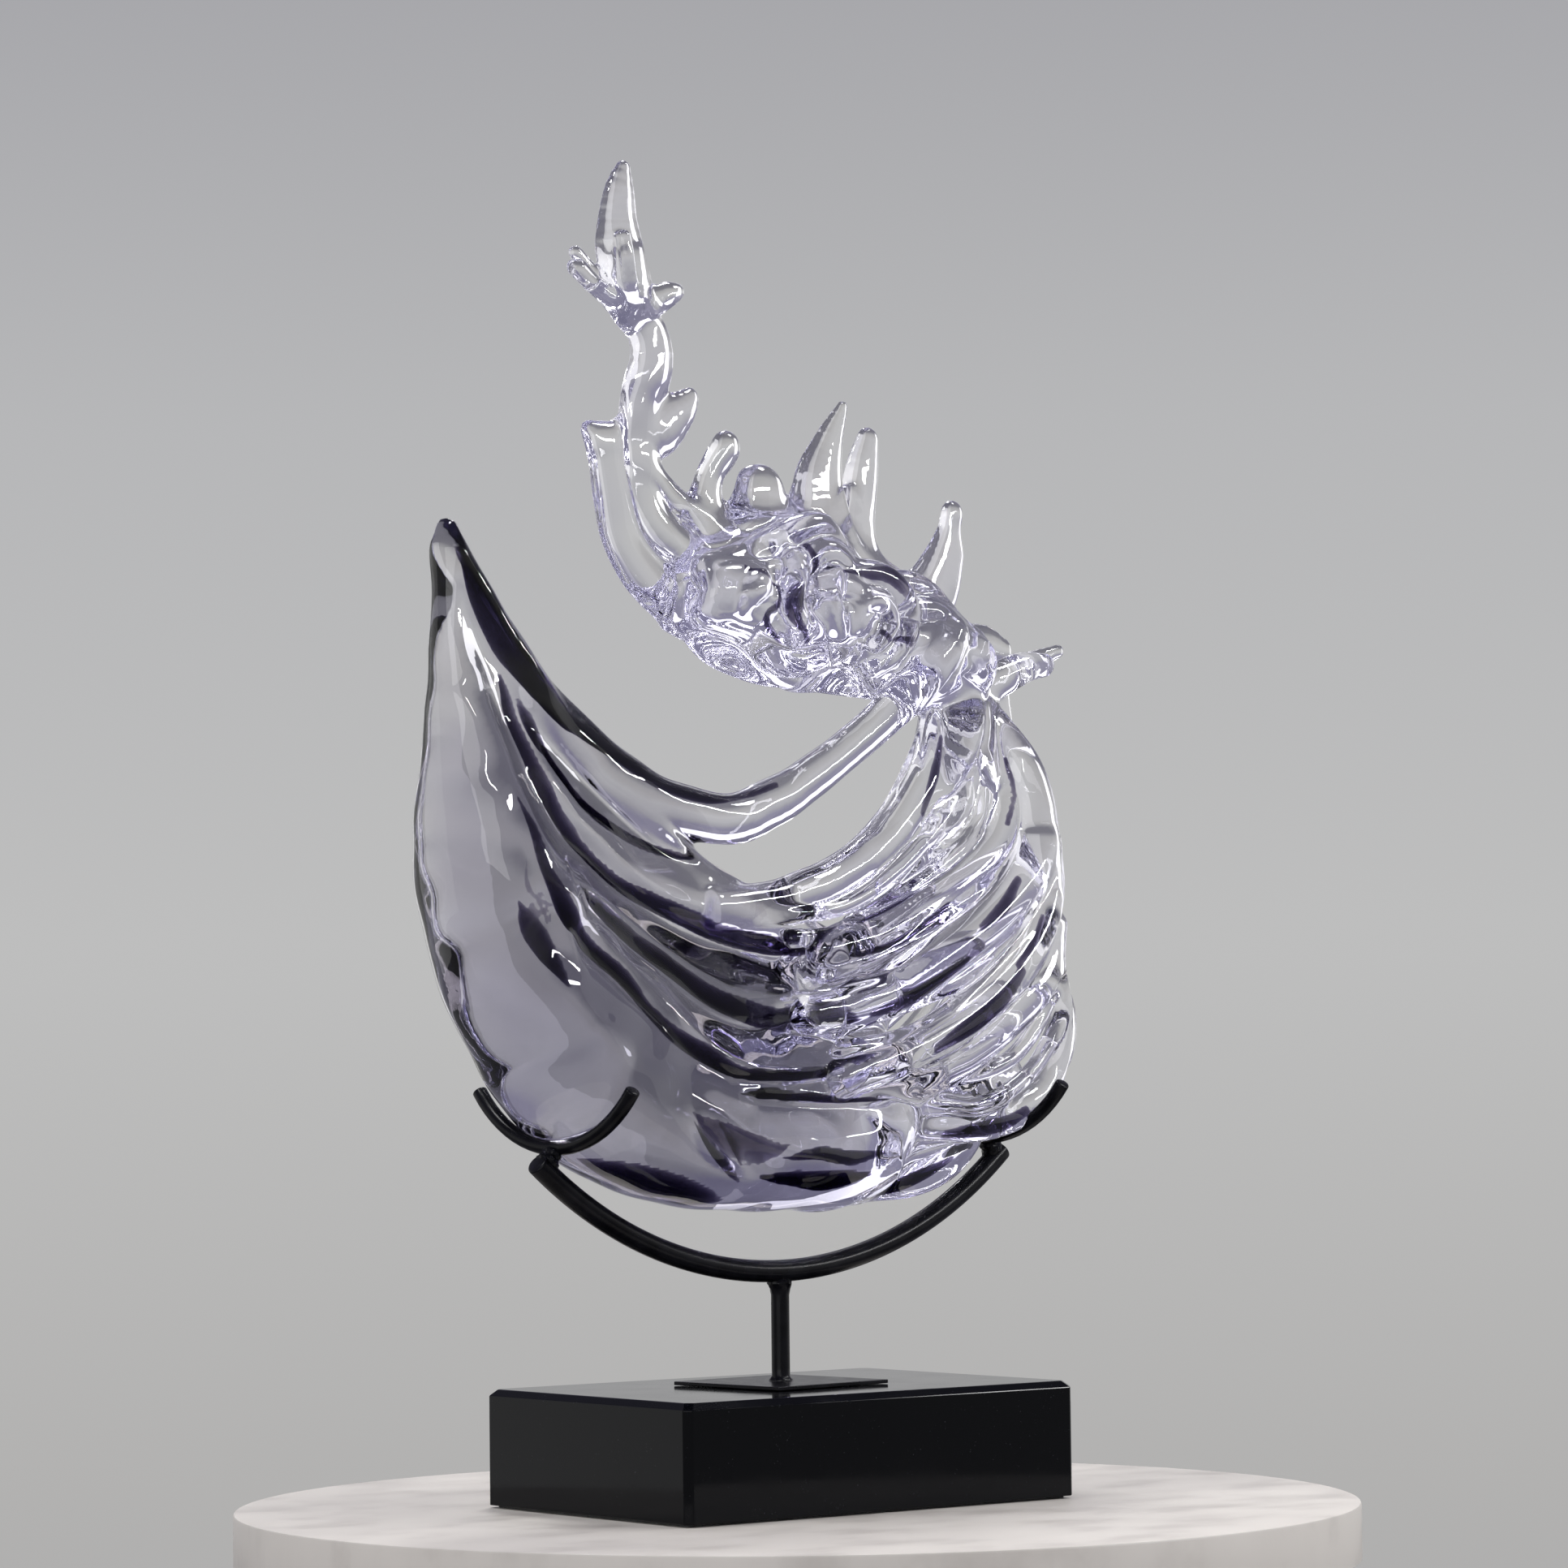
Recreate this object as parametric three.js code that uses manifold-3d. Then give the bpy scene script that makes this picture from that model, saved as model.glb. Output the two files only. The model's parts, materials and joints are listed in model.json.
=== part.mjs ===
// Clear and smoke-grey resin wave resting in a welded steel cradle on a polished stone plinth.
// Millimetres, +Z up. The origin is the centre of the plinth's footprint, on the surface it stands on.
// The stand and the wave share a frame turned about Z: x runs along the bow, y across it.

import * as THREE from 'three';
import { mergeVertices } from 'three/addons/utils/BufferGeometryUtils.js';
import Module from 'manifold-3d';

const wasm = await Module();
wasm.setup();

// Plinth and felt
const PLINTH_LENGTH = 263;
const PLINTH_WIDTH = 181;
const PLINTH_HEIGHT = 62;
const PLINTH_CHAMFER = 3.5;
const FELT_THICKNESS = 1.5;
const FELT_INSET = 4;

// Fixing screw from below
const SCREW_DIAMETER = 6;
const SCREW_GRIP = 18;
const SCREW_HEAD_WIDTH = 10;
const SCREW_HEAD_HEIGHT = 4;
const SCREW_HOLE_CLEARANCE = 0.5;
const WASHER_DIAMETER = 18;
const WASHER_THICKNESS = 1.6;
const POCKET_DIAMETER = 22;
const POCKET_DEPTH = 14;

// Plate and post
const STAND_TURN_DEGREES = 5.6;
const PLATE_SIDE = 82;
const PLATE_THICKNESS = 2;
const POST_DIAMETER = 10;
const POST_CLEAR_HEIGHT = 53;
const WELD_LEG = 3;

// Bow and the two cradles
const BOW_BAR = 12;
const BOW_OVERHANG = 13;
const BOW_RISE = 62;
const CRADLE_BAR = 8;
const CRADLE_HALF_SPAN = 160;
const CRADLE_HALF_WIDTH = 61;
const CRADLE_RISE = 30;
const STUB_DIAMETER = 9;
const STUB_LENGTH = 4;
const STUB_OVERLAP = 1.5;

// Wave, from its seat in the cradles to the tip of its drop
const WAVE_HEIGHT = 518;

// Fits
const SEAT_GAP = 0.3;
const BOND_GAP = 0.3;
const BORE_RUNOUT = 1;
const CUT_OVERRUN = 1;

// Sizes that follow from those above
const SCREW_HOLE = SCREW_DIAMETER + 2 * SCREW_HOLE_CLEARANCE;
const PLINTH_TOP = FELT_THICKNESS + PLINTH_HEIGHT;
const PLATE_BOTTOM = PLINTH_TOP + SEAT_GAP;
const PLATE_TOP = PLATE_BOTTOM + PLATE_THICKNESS;
const POCKET_TOP = FELT_THICKNESS + POCKET_DEPTH;
const WASHER_BOTTOM = POCKET_TOP - SEAT_GAP - WASHER_THICKNESS;
const HEAD_TOP = WASHER_BOTTOM - SEAT_GAP;
const BOW_BOTTOM = PLATE_TOP + POST_CLEAR_HEIGHT + BOW_BAR / 2;
const BOW_HALF_CHORD = CRADLE_HALF_SPAN + BOW_OVERHANG;
const BOW_RADIUS = (BOW_HALF_CHORD ** 2 + BOW_RISE ** 2) / (2 * BOW_RISE);
const BOW_CENTRE = BOW_BOTTOM + BOW_RADIUS;
const CRADLE_RADIUS = (CRADLE_HALF_WIDTH ** 2 + CRADLE_RISE ** 2) / (2 * CRADLE_RISE);
const CRADLE_REACH = BOW_RADIUS - (BOW_BAR + CRADLE_BAR) / 2 - STUB_LENGTH;
const CRADLE_BOTTOM = BOW_CENTRE - Math.sqrt(CRADLE_REACH ** 2 - CRADLE_HALF_SPAN ** 2);
const WAVE_SEAT = CRADLE_BOTTOM + CRADLE_BAR / 2;

// Facets
const ROUND_SIDES = 16;
const BOW_SIDES = 12;
const BOW_STEPS = 20;
const CRADLE_SIDES = 8;
const CRADLE_STEPS = 12;
const STRAND_SIDES = 8;
const STEPS_PER_POINT = 2;
const OUTLINE_STEPS = 4;
const BLADE_STATIONS = 34;
const BLADE_LEVELS = 30;
const BLADE_END_INSET = 2;

// The points of the wave are drawn with the cradles and the seat and tip here, and stretch with the real ones
const DRAWN_CRADLES = [-160, 160];
const DRAWN_HEIGHTS = [0, 518];

// Blade of the wave as [x, height over seat], from its tip down the left and along the underside
const BLADE_OUTLINE = [
  [-232, 318], [-237, 306], [-238, 282], [-238, 254], [-238, 226], [-238, 196], [-237, 168], [-234, 140],
  [-229, 114], [-221, 88], [-209, 62], [-194, 38], [-178, 16], [-157, -4], [-130, -20], [-98, -32],
  [-56, -39], [-8, -41], [38, -40], [62, -30], [72, 0], [72, 44], [62, 82], [40, 108],
  [4, 126], [-36, 140], [-70, 158], [-104, 188], [-145, 221], [-177, 253], [-209, 291], [-226, 311],
];
const BLADE_HALF = 52;
const BLADE_RIM = 33;
const BLADE_LEAST_HALF = 5;
const BLADE_UNDERSIDE = [[-260, 110], [-226, 76], [-180, 17], [-135, -19], [-60, -39], [40, -40], [80, -40]];
const BLADE_TOP_LINE = [[-260, 330], [-226, 314], [-180, 262], [-135, 216], [-60, 154], [30, 119], [80, 100]];
const TAPER_SHARES = [0.88, 0.22];
const TOP_RIM_SHARES = [0.45, 0.9];

// Folds of the blade: lines of [x, height, width of the fall, depth], with the length of the slope below each
const FRONT_FOLDS = [
  { slope: 34, line: [[-232, 308, 12, 2], [-222, 292, 20, 5], [-210, 272, 26, 9], [-200, 250, 24, 11],
    [-195, 220, 16, 11], [-188, 190, 13, 11], [-172, 166, 12, 11], [-151, 152, 12, 11], [-123, 133, 12, 11],
    [-89, 119, 14, 12], [-48, 108, 15, 13], [0, 100, 14, 13], [30, 98, 10, 12]] },
  { slope: 24, line: [[-196, 244, 20, 5], [-182, 222, 16, 7], [-159, 203, 10, 8], [-125, 178, 8, 8],
    [-103, 163, 8, 8], [-80, 152, 8, 8], [-58, 147, 7, 6]] },
  { slope: 34, line: [[-190, 132, 6, 3], [-172, 126, 10, 8], [-155, 118, 12, 10], [-132, 105, 13, 11],
    [-104, 90, 15, 12], [-75, 77, 19, 14], [-46, 69, 21, 15], [-16, 69, 15, 13], [24, 74, 9, 10]] },
  { slope: 36, line: [[-208, 140, 6, 4], [-200, 127, 10, 9], [-190, 119, 12, 10], [-179, 110, 13, 10],
    [-151, 89, 13, 10], [-123, 68, 12, 10], [-95, 46, 11, 10], [-66, 34, 10, 9], [-18, 32, 9, 9],
    [36, 39, 8, 8]] },
  { slope: 26, line: [[-214, 190, 6, 3], [-211, 166, 11, 6], [-206, 142, 13, 8], [-199, 120, 13, 8],
    [-190, 100, 10, 7], [-178, 82, 5, 4]] },
  { slope: 18, line: [[-74, 25, 5, 4], [-62, 22, 8, 6], [-21, 19, 8, 6], [40, 17, 6, 5]] },
  { slope: 24, line: [[-112, 24, 5, 4], [-96, 10, 12, 8], [-74, -4, 14, 9], [-40, -14, 12, 8],
    [0, -18, 8, 6]] },
  { slope: 20, line: [[-158, -4, 5, 4], [-123, -14, 9, 6], [-88, -22, 9, 6], [-50, -30, 6, 4]] },
];
const BACK_FOLDS = [
  { slope: 44, line: [[-190, 190, 14, 4], [-160, 160, 18, 7], [-120, 138, 18, 8], [-80, 122, 18, 8],
    [-30, 112, 18, 8], [24, 108, 14, 6]] },
  { slope: 44, line: [[-206, 130, 14, 4], [-164, 96, 18, 7], [-124, 72, 18, 8], [-80, 56, 18, 8],
    [-30, 52, 18, 8], [24, 56, 14, 6]] },
  { slope: 40, line: [[-170, 30, 10, 4], [-120, 8, 14, 6], [-70, -4, 14, 6], [-6, -6, 12, 5]] },
];
const FOLD_RAISED = 0.35;
const FOLD_FADE = 34;
const FOLD_END = 24;
const FOLD_EDGE = 12;
const FOLD_RAMP = 0.6;
const BLADE_FRONT = { half: 14, rim: 12, folds: FRONT_FOLDS };
const BLADE_BACK = { half: 10, rim: 7, folds: BACK_FOLDS };

// Resin castings in the order they are bonded. A strand is a list of [x, y, height over seat, radius],
// and flat is its thickness across the wave as a share of its width.
const CASTINGS = [
  {
    name: 'wave_blade',
    tint: 'smoke',
    blade: true,
    strands: [
      { flat: 1, points: [[-175, -1, 240, 4], [-156, -2, 221, 9], [-120, -4, 191, 14], [-84, -6, 174, 14]] },
    ],
  },
  {
    name: 'crest',
    tint: 'clear',
    strands: [
      { flat: 1, points: [[130, 0, 248, 14], [83, 4, 254, 15], [35, 6, 256, 14], [-8, 6, 258, 13],
        [-37, 4, 265, 13], [-62, 2, 278, 10]] },
      { flat: 1, points: [[136, 0, 264, 14], [115, 4, 285, 14], [86, 6, 300, 14], [48, 6, 308, 15],
        [11, 6, 312, 15], [-27, 4, 312, 13], [-56, 2, 306, 9]] },
      { flat: 1, points: [[112, -14, 264, 13], [64, -16, 274, 15], [30, -16, 278, 15], [-1, -16, 279, 14],
        [-29, -13, 284, 13], [-56, -8, 288, 10]] },
      { flat: 1, points: [[138, 13, 258, 12], [97, 16, 271, 14], [53, 16, 278, 15], [8, 14, 283, 14],
        [-32, 10, 288, 13], [-58, 6, 294, 9]] },
      { flat: 0.8, points: [[98, 4, 302, 10], [66, 4, 314, 12], [28, 2, 323, 13], [-8, 2, 327, 12],
        [-38, 3, 322, 9]] },
    ],
  },
  {
    name: 'splash_front',
    tint: 'clear',
    strands: [
      { flat: 1, points: [[-14, -40, 64, 11], [35, -43, 74, 12], [79, -43, 93, 13], [124, -42, 118, 13],
        [158, -40, 147, 13], [176, -32, 175, 12], [177, -22, 203, 11], [163, -11, 227, 10]] },
      { flat: 1, points: [[6, -42, 30, 11], [61, -46, 47, 12], [109, -46, 70, 13], [148, -44, 100, 13],
        [172, -40, 129, 12], [181, -34, 160, 10]] },
      { flat: 1, points: [[20, -36, 20, 10], [88, -43, 39, 12], [130, -44, 61, 12], [164, -40, 86, 12],
        [180, -37, 114, 9]] },
      { flat: 1, points: [[44, -26, 2, 10], [89, -30, 4, 11], [136, -28, 7, 12], [172, -27, 18, 11],
        [188, -27, 39, 9], [186, -34, 66, 8], [174, -40, 90, 8]] },
    ],
  },
  {
    name: 'splash_rear',
    tint: 'clear',
    strands: [
      { flat: 1, points: [[10, 36, 84, 11], [60, 42, 91, 12], [110, 40, 111, 13], [150, 36, 141, 12],
        [170, 26, 175, 12], [170, 15, 205, 11], [157, 8, 234, 9]] },
      { flat: 1, points: [[30, 36, 37, 11], [85, 45, 49, 12], [130, 44, 75, 13], [162, 38, 107, 12],
        [174, 30, 141, 11], [172, 27, 170, 9]] },
      { flat: 1, points: [[46, 24, 5, 10], [100, 29, 2, 10], [140, 29, 5, 11], [168, 27, 16, 10],
        [185, 25, 40, 9], [186, 27, 72, 9], [168, 36, 104, 9]] },
    ],
  },
  {
    name: 'upper_ribbon',
    tint: 'clear',
    strands: [
      { flat: 0.8, points: [[-95, -6, 180, 12], [-42, -8, 170, 15], [-8, -10, 181, 13], [32, -14, 204, 11],
        [65, -18, 227, 11], [88, -22, 248, 11], [102, -22, 264, 10]] },
    ],
  },
  {
    name: 'middle_ribbon',
    tint: 'clear',
    strands: [
      { flat: 0.85, points: [[-30, -14, 124, 11], [14, -14, 133, 12], [53, -12, 149, 12], [84, -10, 172, 12],
        [108, -8, 197, 12], [119, -6, 223, 11], [125, -4, 244, 10]] },
    ],
  },
  {
    name: 'lower_ribbon',
    tint: 'clear',
    strands: [
      { flat: 0.9, points: [[10, -28, 99, 11], [45, -30, 107, 12], [85, -29, 124, 12], [120, -27, 142, 12],
        [148, -24, 162, 11], [163, -17, 186, 10], [162, -10, 210, 9], [150, -5, 236, 8]] },
    ],
  },
  {
    name: 'inner_ribbon',
    tint: 'clear',
    strands: [
      { flat: 0.9, points: [[146, 4, 244, 8], [143, 6, 214, 8], [141, 6, 184, 8], [128, 10, 156, 8],
        [110, 22, 124, 8]] },
    ],
  },
  {
    name: 'side_loop',
    tint: 'clear',
    strands: [
      { flat: 1, points: [[160, -32, 82, 6], [187, -30, 80, 6], [199, -27, 62, 6], [197, -25, 40, 6],
        [180, -24, 22, 6]] },
    ],
  },
  {
    name: 'tail_lobe',
    tint: 'clear',
    strands: [
      { flat: 1, points: [[58, -6, -17, 13], [96, -6, -11, 12], [128, -4, -4, 11], [146, -2, 10, 9]] },
      { flat: 1, points: [[60, 4, -27, 10], [98, 2, -27, 10], [126, 1, -20, 9], [140, 0, -6, 9]] },
    ],
  },
  {
    name: 'left_leaf',
    tint: 'clear',
    strands: [
      { flat: 0.4, points: [[-46, 2, 276, 10], [-84, 0, 290, 13], [-107, 0, 313, 13], [-117, 0, 342, 13],
        [-121, 0, 368, 12]] },
    ],
  },
  {
    name: 'spout_stem',
    tint: 'clear',
    strands: [
      { flat: 0.6, points: [[-46, 3, 307, 8], [-80, 0, 322, 12], [-94, 0, 343, 11], [-99, 0, 369, 10],
        [-96, 0, 395, 11], [-89, 0, 412, 11], [-90, 0, 427, 9], [-100, 0, 438, 9]] },
    ],
  },
  {
    name: 'spout_drop',
    tint: 'clear',
    strands: [
      { flat: 0.8, points: [[-102, 1, 441, 9], [-104, 1, 453, 12], [-108, 1, 471, 12], [-112, 1, 490, 9],
        [-110, 1, 507, 7], [-107, 1, 518, 5]] },
      { flat: 0.9, points: [[-98, 4, 443, 8], [-94, 6, 455, 10], [-96, 6, 468, 8]] },
    ],
  },
  {
    name: 'spout_left_finger',
    tint: 'clear',
    strands: [
      { flat: 1, points: [[-104, -1, 441, 6], [-124, -2, 448, 5], [-143, -4, 459, 5]] },
      { flat: 1, points: [[-112, 3, 446, 5], [-126, 5, 461, 4], [-135, 6, 469, 4]] },
    ],
  },
  {
    name: 'spout_middle_finger',
    tint: 'clear',
    strands: [{ flat: 1, points: [[-106, -5, 445, 5], [-114, -12, 462, 4], [-117, -12, 477, 4]] }],
  },
  {
    name: 'spout_right_finger',
    tint: 'clear',
    strands: [{ flat: 0.8, points: [[-100, -3, 440, 7], [-92, -8, 445, 8], [-82, -11, 450, 8]] }],
  },
  {
    name: 'stem_leaf',
    tint: 'clear',
    strands: [{ flat: 0.4, points: [[-98, 0, 364, 7], [-78, 0, 379, 13], [-61, 0, 389, 7]] }],
  },
  {
    name: 'hook_finger',
    tint: 'clear',
    strands: [{ flat: 0.6, points: [[-36, 4, 310, 11], [-46, 2, 340, 8], [-44, 0, 358, 8],
      [-32, 0, 373, 8]] }],
  },
  {
    name: 'stem_bridge',
    tint: 'clear',
    strands: [{ flat: 1, points: [[-96, 0, 362, 6], [-73, 0, 343, 6], [-54, 1, 331, 6], [-40, 3, 322, 6]] }],
  },
  {
    name: 'round_finger',
    tint: 'clear',
    strands: [{ flat: 0.4, points: [[-12, -2, 312, 18], [-13, -4, 336, 18], [-12, -5, 350, 14]] }],
  },
  {
    name: 'pointed_finger',
    tint: 'clear',
    strands: [{ flat: 0.4, points: [[44, 0, 306, 22], [32, -4, 333, 17], [29, -5, 355, 14], [36, -6, 376, 8],
      [47, -6, 398, 3]] }],
  },
  {
    name: 'twin_finger',
    tint: 'clear',
    strands: [{ flat: 0.45, points: [[66, 6, 306, 16], [72, 8, 342, 11], [78, 8, 369, 10], [83, 8, 384, 8]] }],
  },
  {
    name: 'tall_finger',
    tint: 'clear',
    strands: [{ flat: 0.5, points: [[112, 3, 284, 15], [124, 1, 308, 13], [134, 0, 331, 9],
      [140, 0, 345, 8]] }],
  },
  {
    name: 'side_leaf',
    tint: 'clear',
    strands: [{ flat: 0.4, points: [[138, 8, 264, 12], [172, 13, 274, 13], [193, 14, 272, 8]] }],
  },
  {
    name: 'right_finger',
    tint: 'clear',
    strands: [{ flat: 0.9, points: [[138, -3, 247, 11], [166, -6, 253, 11], [188, -8, 261, 9],
      [204, -8, 263, 7]] }],
  },
  {
    name: 'thin_finger',
    tint: 'clear',
    strands: [{ flat: 0.9, points: [[182, -4, 259, 6], [209, 6, 266, 6], [231, 6, 273, 4]] }],
  },
];

// Colours
const STONE = { color: 0x101114, roughness: 0.12, metalness: 0 };
const FELT = { color: 0x1b1b1d, roughness: 0.95, metalness: 0 };
const BLACK_STEEL = { color: 0x0b0b0d, roughness: 0.35, metalness: 0.6 };
const ZINC = { color: 0xb4b7ba, roughness: 0.35, metalness: 1 };
const RESIN = {
  smoke: { color: 0x84838c, roughness: 0.05, metalness: 0, transparent: true, opacity: 0.55 },
  clear: { color: 0xd6d6e0, roughness: 0.04, metalness: 0, transparent: true, opacity: 0.35 },
};

// Closed solids from three.js geometry, and back
function solidFrom(geometry) {
  geometry.deleteAttribute('normal');
  geometry.deleteAttribute('uv');
  const merged = mergeVertices(geometry);
  const mesh = new wasm.Mesh({
    numProp: 3,
    vertProperties: Float32Array.from(merged.attributes.position.array),
    triVerts: Uint32Array.from(merged.index.array),
  });
  return new wasm.Manifold(mesh);
}

function geometryFrom(solid) {
  const mesh = solid.getMesh();
  const geometry = new THREE.BufferGeometry();
  geometry.setAttribute('position', new THREE.BufferAttribute(mesh.vertProperties, 3));
  geometry.setIndex(new THREE.BufferAttribute(mesh.triVerts, 1));
  return geometry;
}

function joined(solids) {
  return solids.reduce((whole, solid) => whole.add(solid));
}

function named(name, geometry, look) {
  const mesh = new THREE.Mesh(geometry, new THREE.MeshStandardMaterial(look));
  mesh.name = name;
  return mesh;
}

// Rings of points skinned into one closed body, each end closed on a middle point
function skinned(rings, startPoint, endPoint) {
  const sides = rings[0].length;
  const corners = [...rings.flat(), startPoint, endPoint];
  const startIndex = corners.length - 2;
  const endIndex = corners.length - 1;
  const lastRing = (rings.length - 1) * sides;
  const triangles = [];
  for (let side = 0; side < sides; side += 1) {
    const next = (side + 1) % sides;
    for (let ring = 0; ring < rings.length - 1; ring += 1) {
      const here = ring * sides;
      const ahead = here + sides;
      triangles.push(here + side, here + next, ahead + next);
      triangles.push(here + side, ahead + next, ahead + side);
    }
    triangles.push(startIndex, next, side);
    triangles.push(endIndex, lastRing + side, lastRing + next);
  }
  const geometry = new THREE.BufferGeometry();
  geometry.setAttribute('position', new THREE.Float32BufferAttribute(corners.flatMap((p) => p.toArray()), 3));
  geometry.setIndex(triangles);
  return geometry;
}

// A turned body: profile of [radius, height] pairs about Z
function turned(profile, sides) {
  const outline = profile.map(([radius, height]) => new THREE.Vector2(radius, height));
  const geometry = new THREE.LatheGeometry(outline, sides);
  geometry.rotateX(Math.PI / 2);
  return geometry;
}

function rod(diameter, low, high, sides = ROUND_SIDES) {
  const radius = diameter / 2;
  return turned([[0, low], [radius, low], [radius, high], [0, high]], sides);
}

// A round bar bent along a circular arc that opens upwards
class UpwardArc extends THREE.Curve {
  constructor(radius, halfAngle, placePoint) {
    super();
    this.radius = radius;
    this.halfAngle = halfAngle;
    this.placePoint = placePoint;
  }

  getPoint(share, target = new THREE.Vector3()) {
    const angle = (2 * share - 1) * this.halfAngle;
    return target.copy(this.placePoint(this.radius * Math.sin(angle), this.radius * (1 - Math.cos(angle))));
  }
}

function bentBar(diameter, curve, sides, steps) {
  const section = new THREE.Shape();
  for (let side = 0; side < sides; side += 1) {
    const angle = (2 * Math.PI * side) / sides;
    const method = side === 0 ? 'moveTo' : 'lineTo';
    section[method]((diameter / 2) * Math.cos(angle), (diameter / 2) * Math.sin(angle));
  }
  section.closePath();
  return new THREE.ExtrudeGeometry(section, { steps, extrudePath: curve, bevelEnabled: false });
}

function bowSolid(grow) {
  const halfAngle = Math.asin(BOW_HALF_CHORD / BOW_RADIUS);
  const place = (along, up) => new THREE.Vector3(along, 0, BOW_BOTTOM + up);
  const curve = new UpwardArc(BOW_RADIUS, halfAngle, place);
  return solidFrom(bentBar(BOW_BAR + 2 * grow, curve, BOW_SIDES, BOW_STEPS));
}

function cradleSolid(x, grow) {
  const halfAngle = Math.asin(CRADLE_HALF_WIDTH / CRADLE_RADIUS);
  const place = (across, up) => new THREE.Vector3(x, across, CRADLE_BOTTOM + up);
  const curve = new UpwardArc(CRADLE_RADIUS, halfAngle, place);
  return solidFrom(bentBar(CRADLE_BAR + 2 * grow, curve, CRADLE_SIDES, CRADLE_STEPS));
}

// Plinth: a chamfered block with a stepped screw hole through its middle
function plinth() {
  const outlineAt = (inset, height) => {
    const x = PLINTH_LENGTH / 2 - inset;
    const y = PLINTH_WIDTH / 2 - inset;
    const c = PLINTH_CHAMFER;
    const corners = [
      [x, y - c], [x - c, y], [c - x, y], [-x, y - c],
      [-x, c - y], [c - x, -y], [x - c, -y], [x, c - y],
    ];
    return corners.map(([px, py]) => new THREE.Vector3(px, py, height));
  };
  const rings = [
    outlineAt(0, FELT_THICKNESS),
    outlineAt(0, PLINTH_TOP - PLINTH_CHAMFER),
    outlineAt(PLINTH_CHAMFER, PLINTH_TOP),
  ];
  const block = skinned(rings, new THREE.Vector3(0, 0, FELT_THICKNESS), new THREE.Vector3(0, 0, PLINTH_TOP));
  const holeRadius = SCREW_HOLE / 2;
  const pocketRadius = POCKET_DIAMETER / 2;
  const below = FELT_THICKNESS - CUT_OVERRUN;
  const above = PLINTH_TOP + CUT_OVERRUN;
  const hole = turned(
    [[0, below], [pocketRadius, below], [pocketRadius, POCKET_TOP], [holeRadius, POCKET_TOP],
      [holeRadius, above], [0, above]],
    ROUND_SIDES,
  );
  return geometryFrom(solidFrom(block).subtract(solidFrom(hole)));
}

function baseFelt() {
  const length = PLINTH_LENGTH - 2 * FELT_INSET;
  const width = PLINTH_WIDTH - 2 * FELT_INSET;
  return new THREE.BoxGeometry(length, width, FELT_THICKNESS).translate(0, 0, FELT_THICKNESS / 2);
}

// Screw and washer in the pocket under the plinth
function washer() {
  const ring = solidFrom(rod(WASHER_DIAMETER, WASHER_BOTTOM, WASHER_BOTTOM + WASHER_THICKNESS));
  const hole = rod(SCREW_HOLE, WASHER_BOTTOM - CUT_OVERRUN, POCKET_TOP + CUT_OVERRUN);
  return geometryFrom(ring.subtract(solidFrom(hole)));
}

function fixingScrew() {
  const flatsToCorners = 2 / Math.sqrt(3);
  const hexSides = 6;
  const head = rod(SCREW_HEAD_WIDTH * flatsToCorners, HEAD_TOP - SCREW_HEAD_HEIGHT, HEAD_TOP, hexSides);
  const shank = rod(SCREW_DIAMETER, HEAD_TOP - SCREW_HEAD_HEIGHT / 2, PLATE_TOP + SCREW_GRIP);
  return geometryFrom(solidFrom(head).add(solidFrom(shank)));
}

// Plate, post with its weld fillets, and the stubs that carry the cradles
function mountingPlate() {
  const plate = new THREE.BoxGeometry(PLATE_SIDE, PLATE_SIDE, PLATE_THICKNESS);
  plate.translate(0, 0, PLATE_BOTTOM + PLATE_THICKNESS / 2);
  const hole = rod(SCREW_HOLE, PLATE_BOTTOM - CUT_OVERRUN, PLATE_TOP + CUT_OVERRUN);
  return geometryFrom(solidFrom(plate).subtract(solidFrom(hole)));
}

function post() {
  const radius = POST_DIAMETER / 2;
  const throat = radius + WELD_LEG / 3;
  const flare = radius + WELD_LEG;
  const foot = PLATE_TOP + SEAT_GAP;
  const saddle = BOW_BOTTOM - BOW_BAR / 2;
  const boreTop = PLATE_TOP + SCREW_GRIP + BORE_RUNOUT;
  const outside = turned(
    [[0, foot], [flare, foot], [throat, foot + WELD_LEG / 3], [radius, foot + WELD_LEG],
      [radius, saddle - WELD_LEG], [throat, saddle - WELD_LEG / 3], [flare, saddle + WELD_LEG / 3],
      [0, saddle + WELD_LEG / 3]],
    ROUND_SIDES,
  );
  const bore = rod(SCREW_HOLE, foot - CUT_OVERRUN, boreTop);
  return geometryFrom(solidFrom(outside).subtract(solidFrom(bore)).subtract(bowSolid(SEAT_GAP)));
}

function cradleStub(x) {
  const lean = Math.asin(x / CRADLE_REACH);
  const arcTop = BOW_RADIUS - BOW_BAR / 2 + STUB_OVERLAP;
  const cradleUnderside = CRADLE_REACH + CRADLE_BAR / 2 - STUB_OVERLAP;
  const column = rod(STUB_DIAMETER, -arcTop, -cradleUnderside, CRADLE_SIDES);
  column.rotateY(-lean).translate(0, 0, BOW_CENTRE);
  return geometryFrom(solidFrom(column).subtract(bowSolid(SEAT_GAP)).subtract(cradleSolid(x, SEAT_GAP)));
}

// Where a drawn point of the wave lies
function wavePoint(drawnX, y, drawnHeight) {
  const x = THREE.MathUtils.mapLinear(drawnX, ...DRAWN_CRADLES, -CRADLE_HALF_SPAN, CRADLE_HALF_SPAN);
  const height = THREE.MathUtils.mapLinear(drawnHeight, ...DRAWN_HEIGHTS, 0, WAVE_HEIGHT);
  return new THREE.Vector3(x, y, WAVE_SEAT + height);
}

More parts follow.
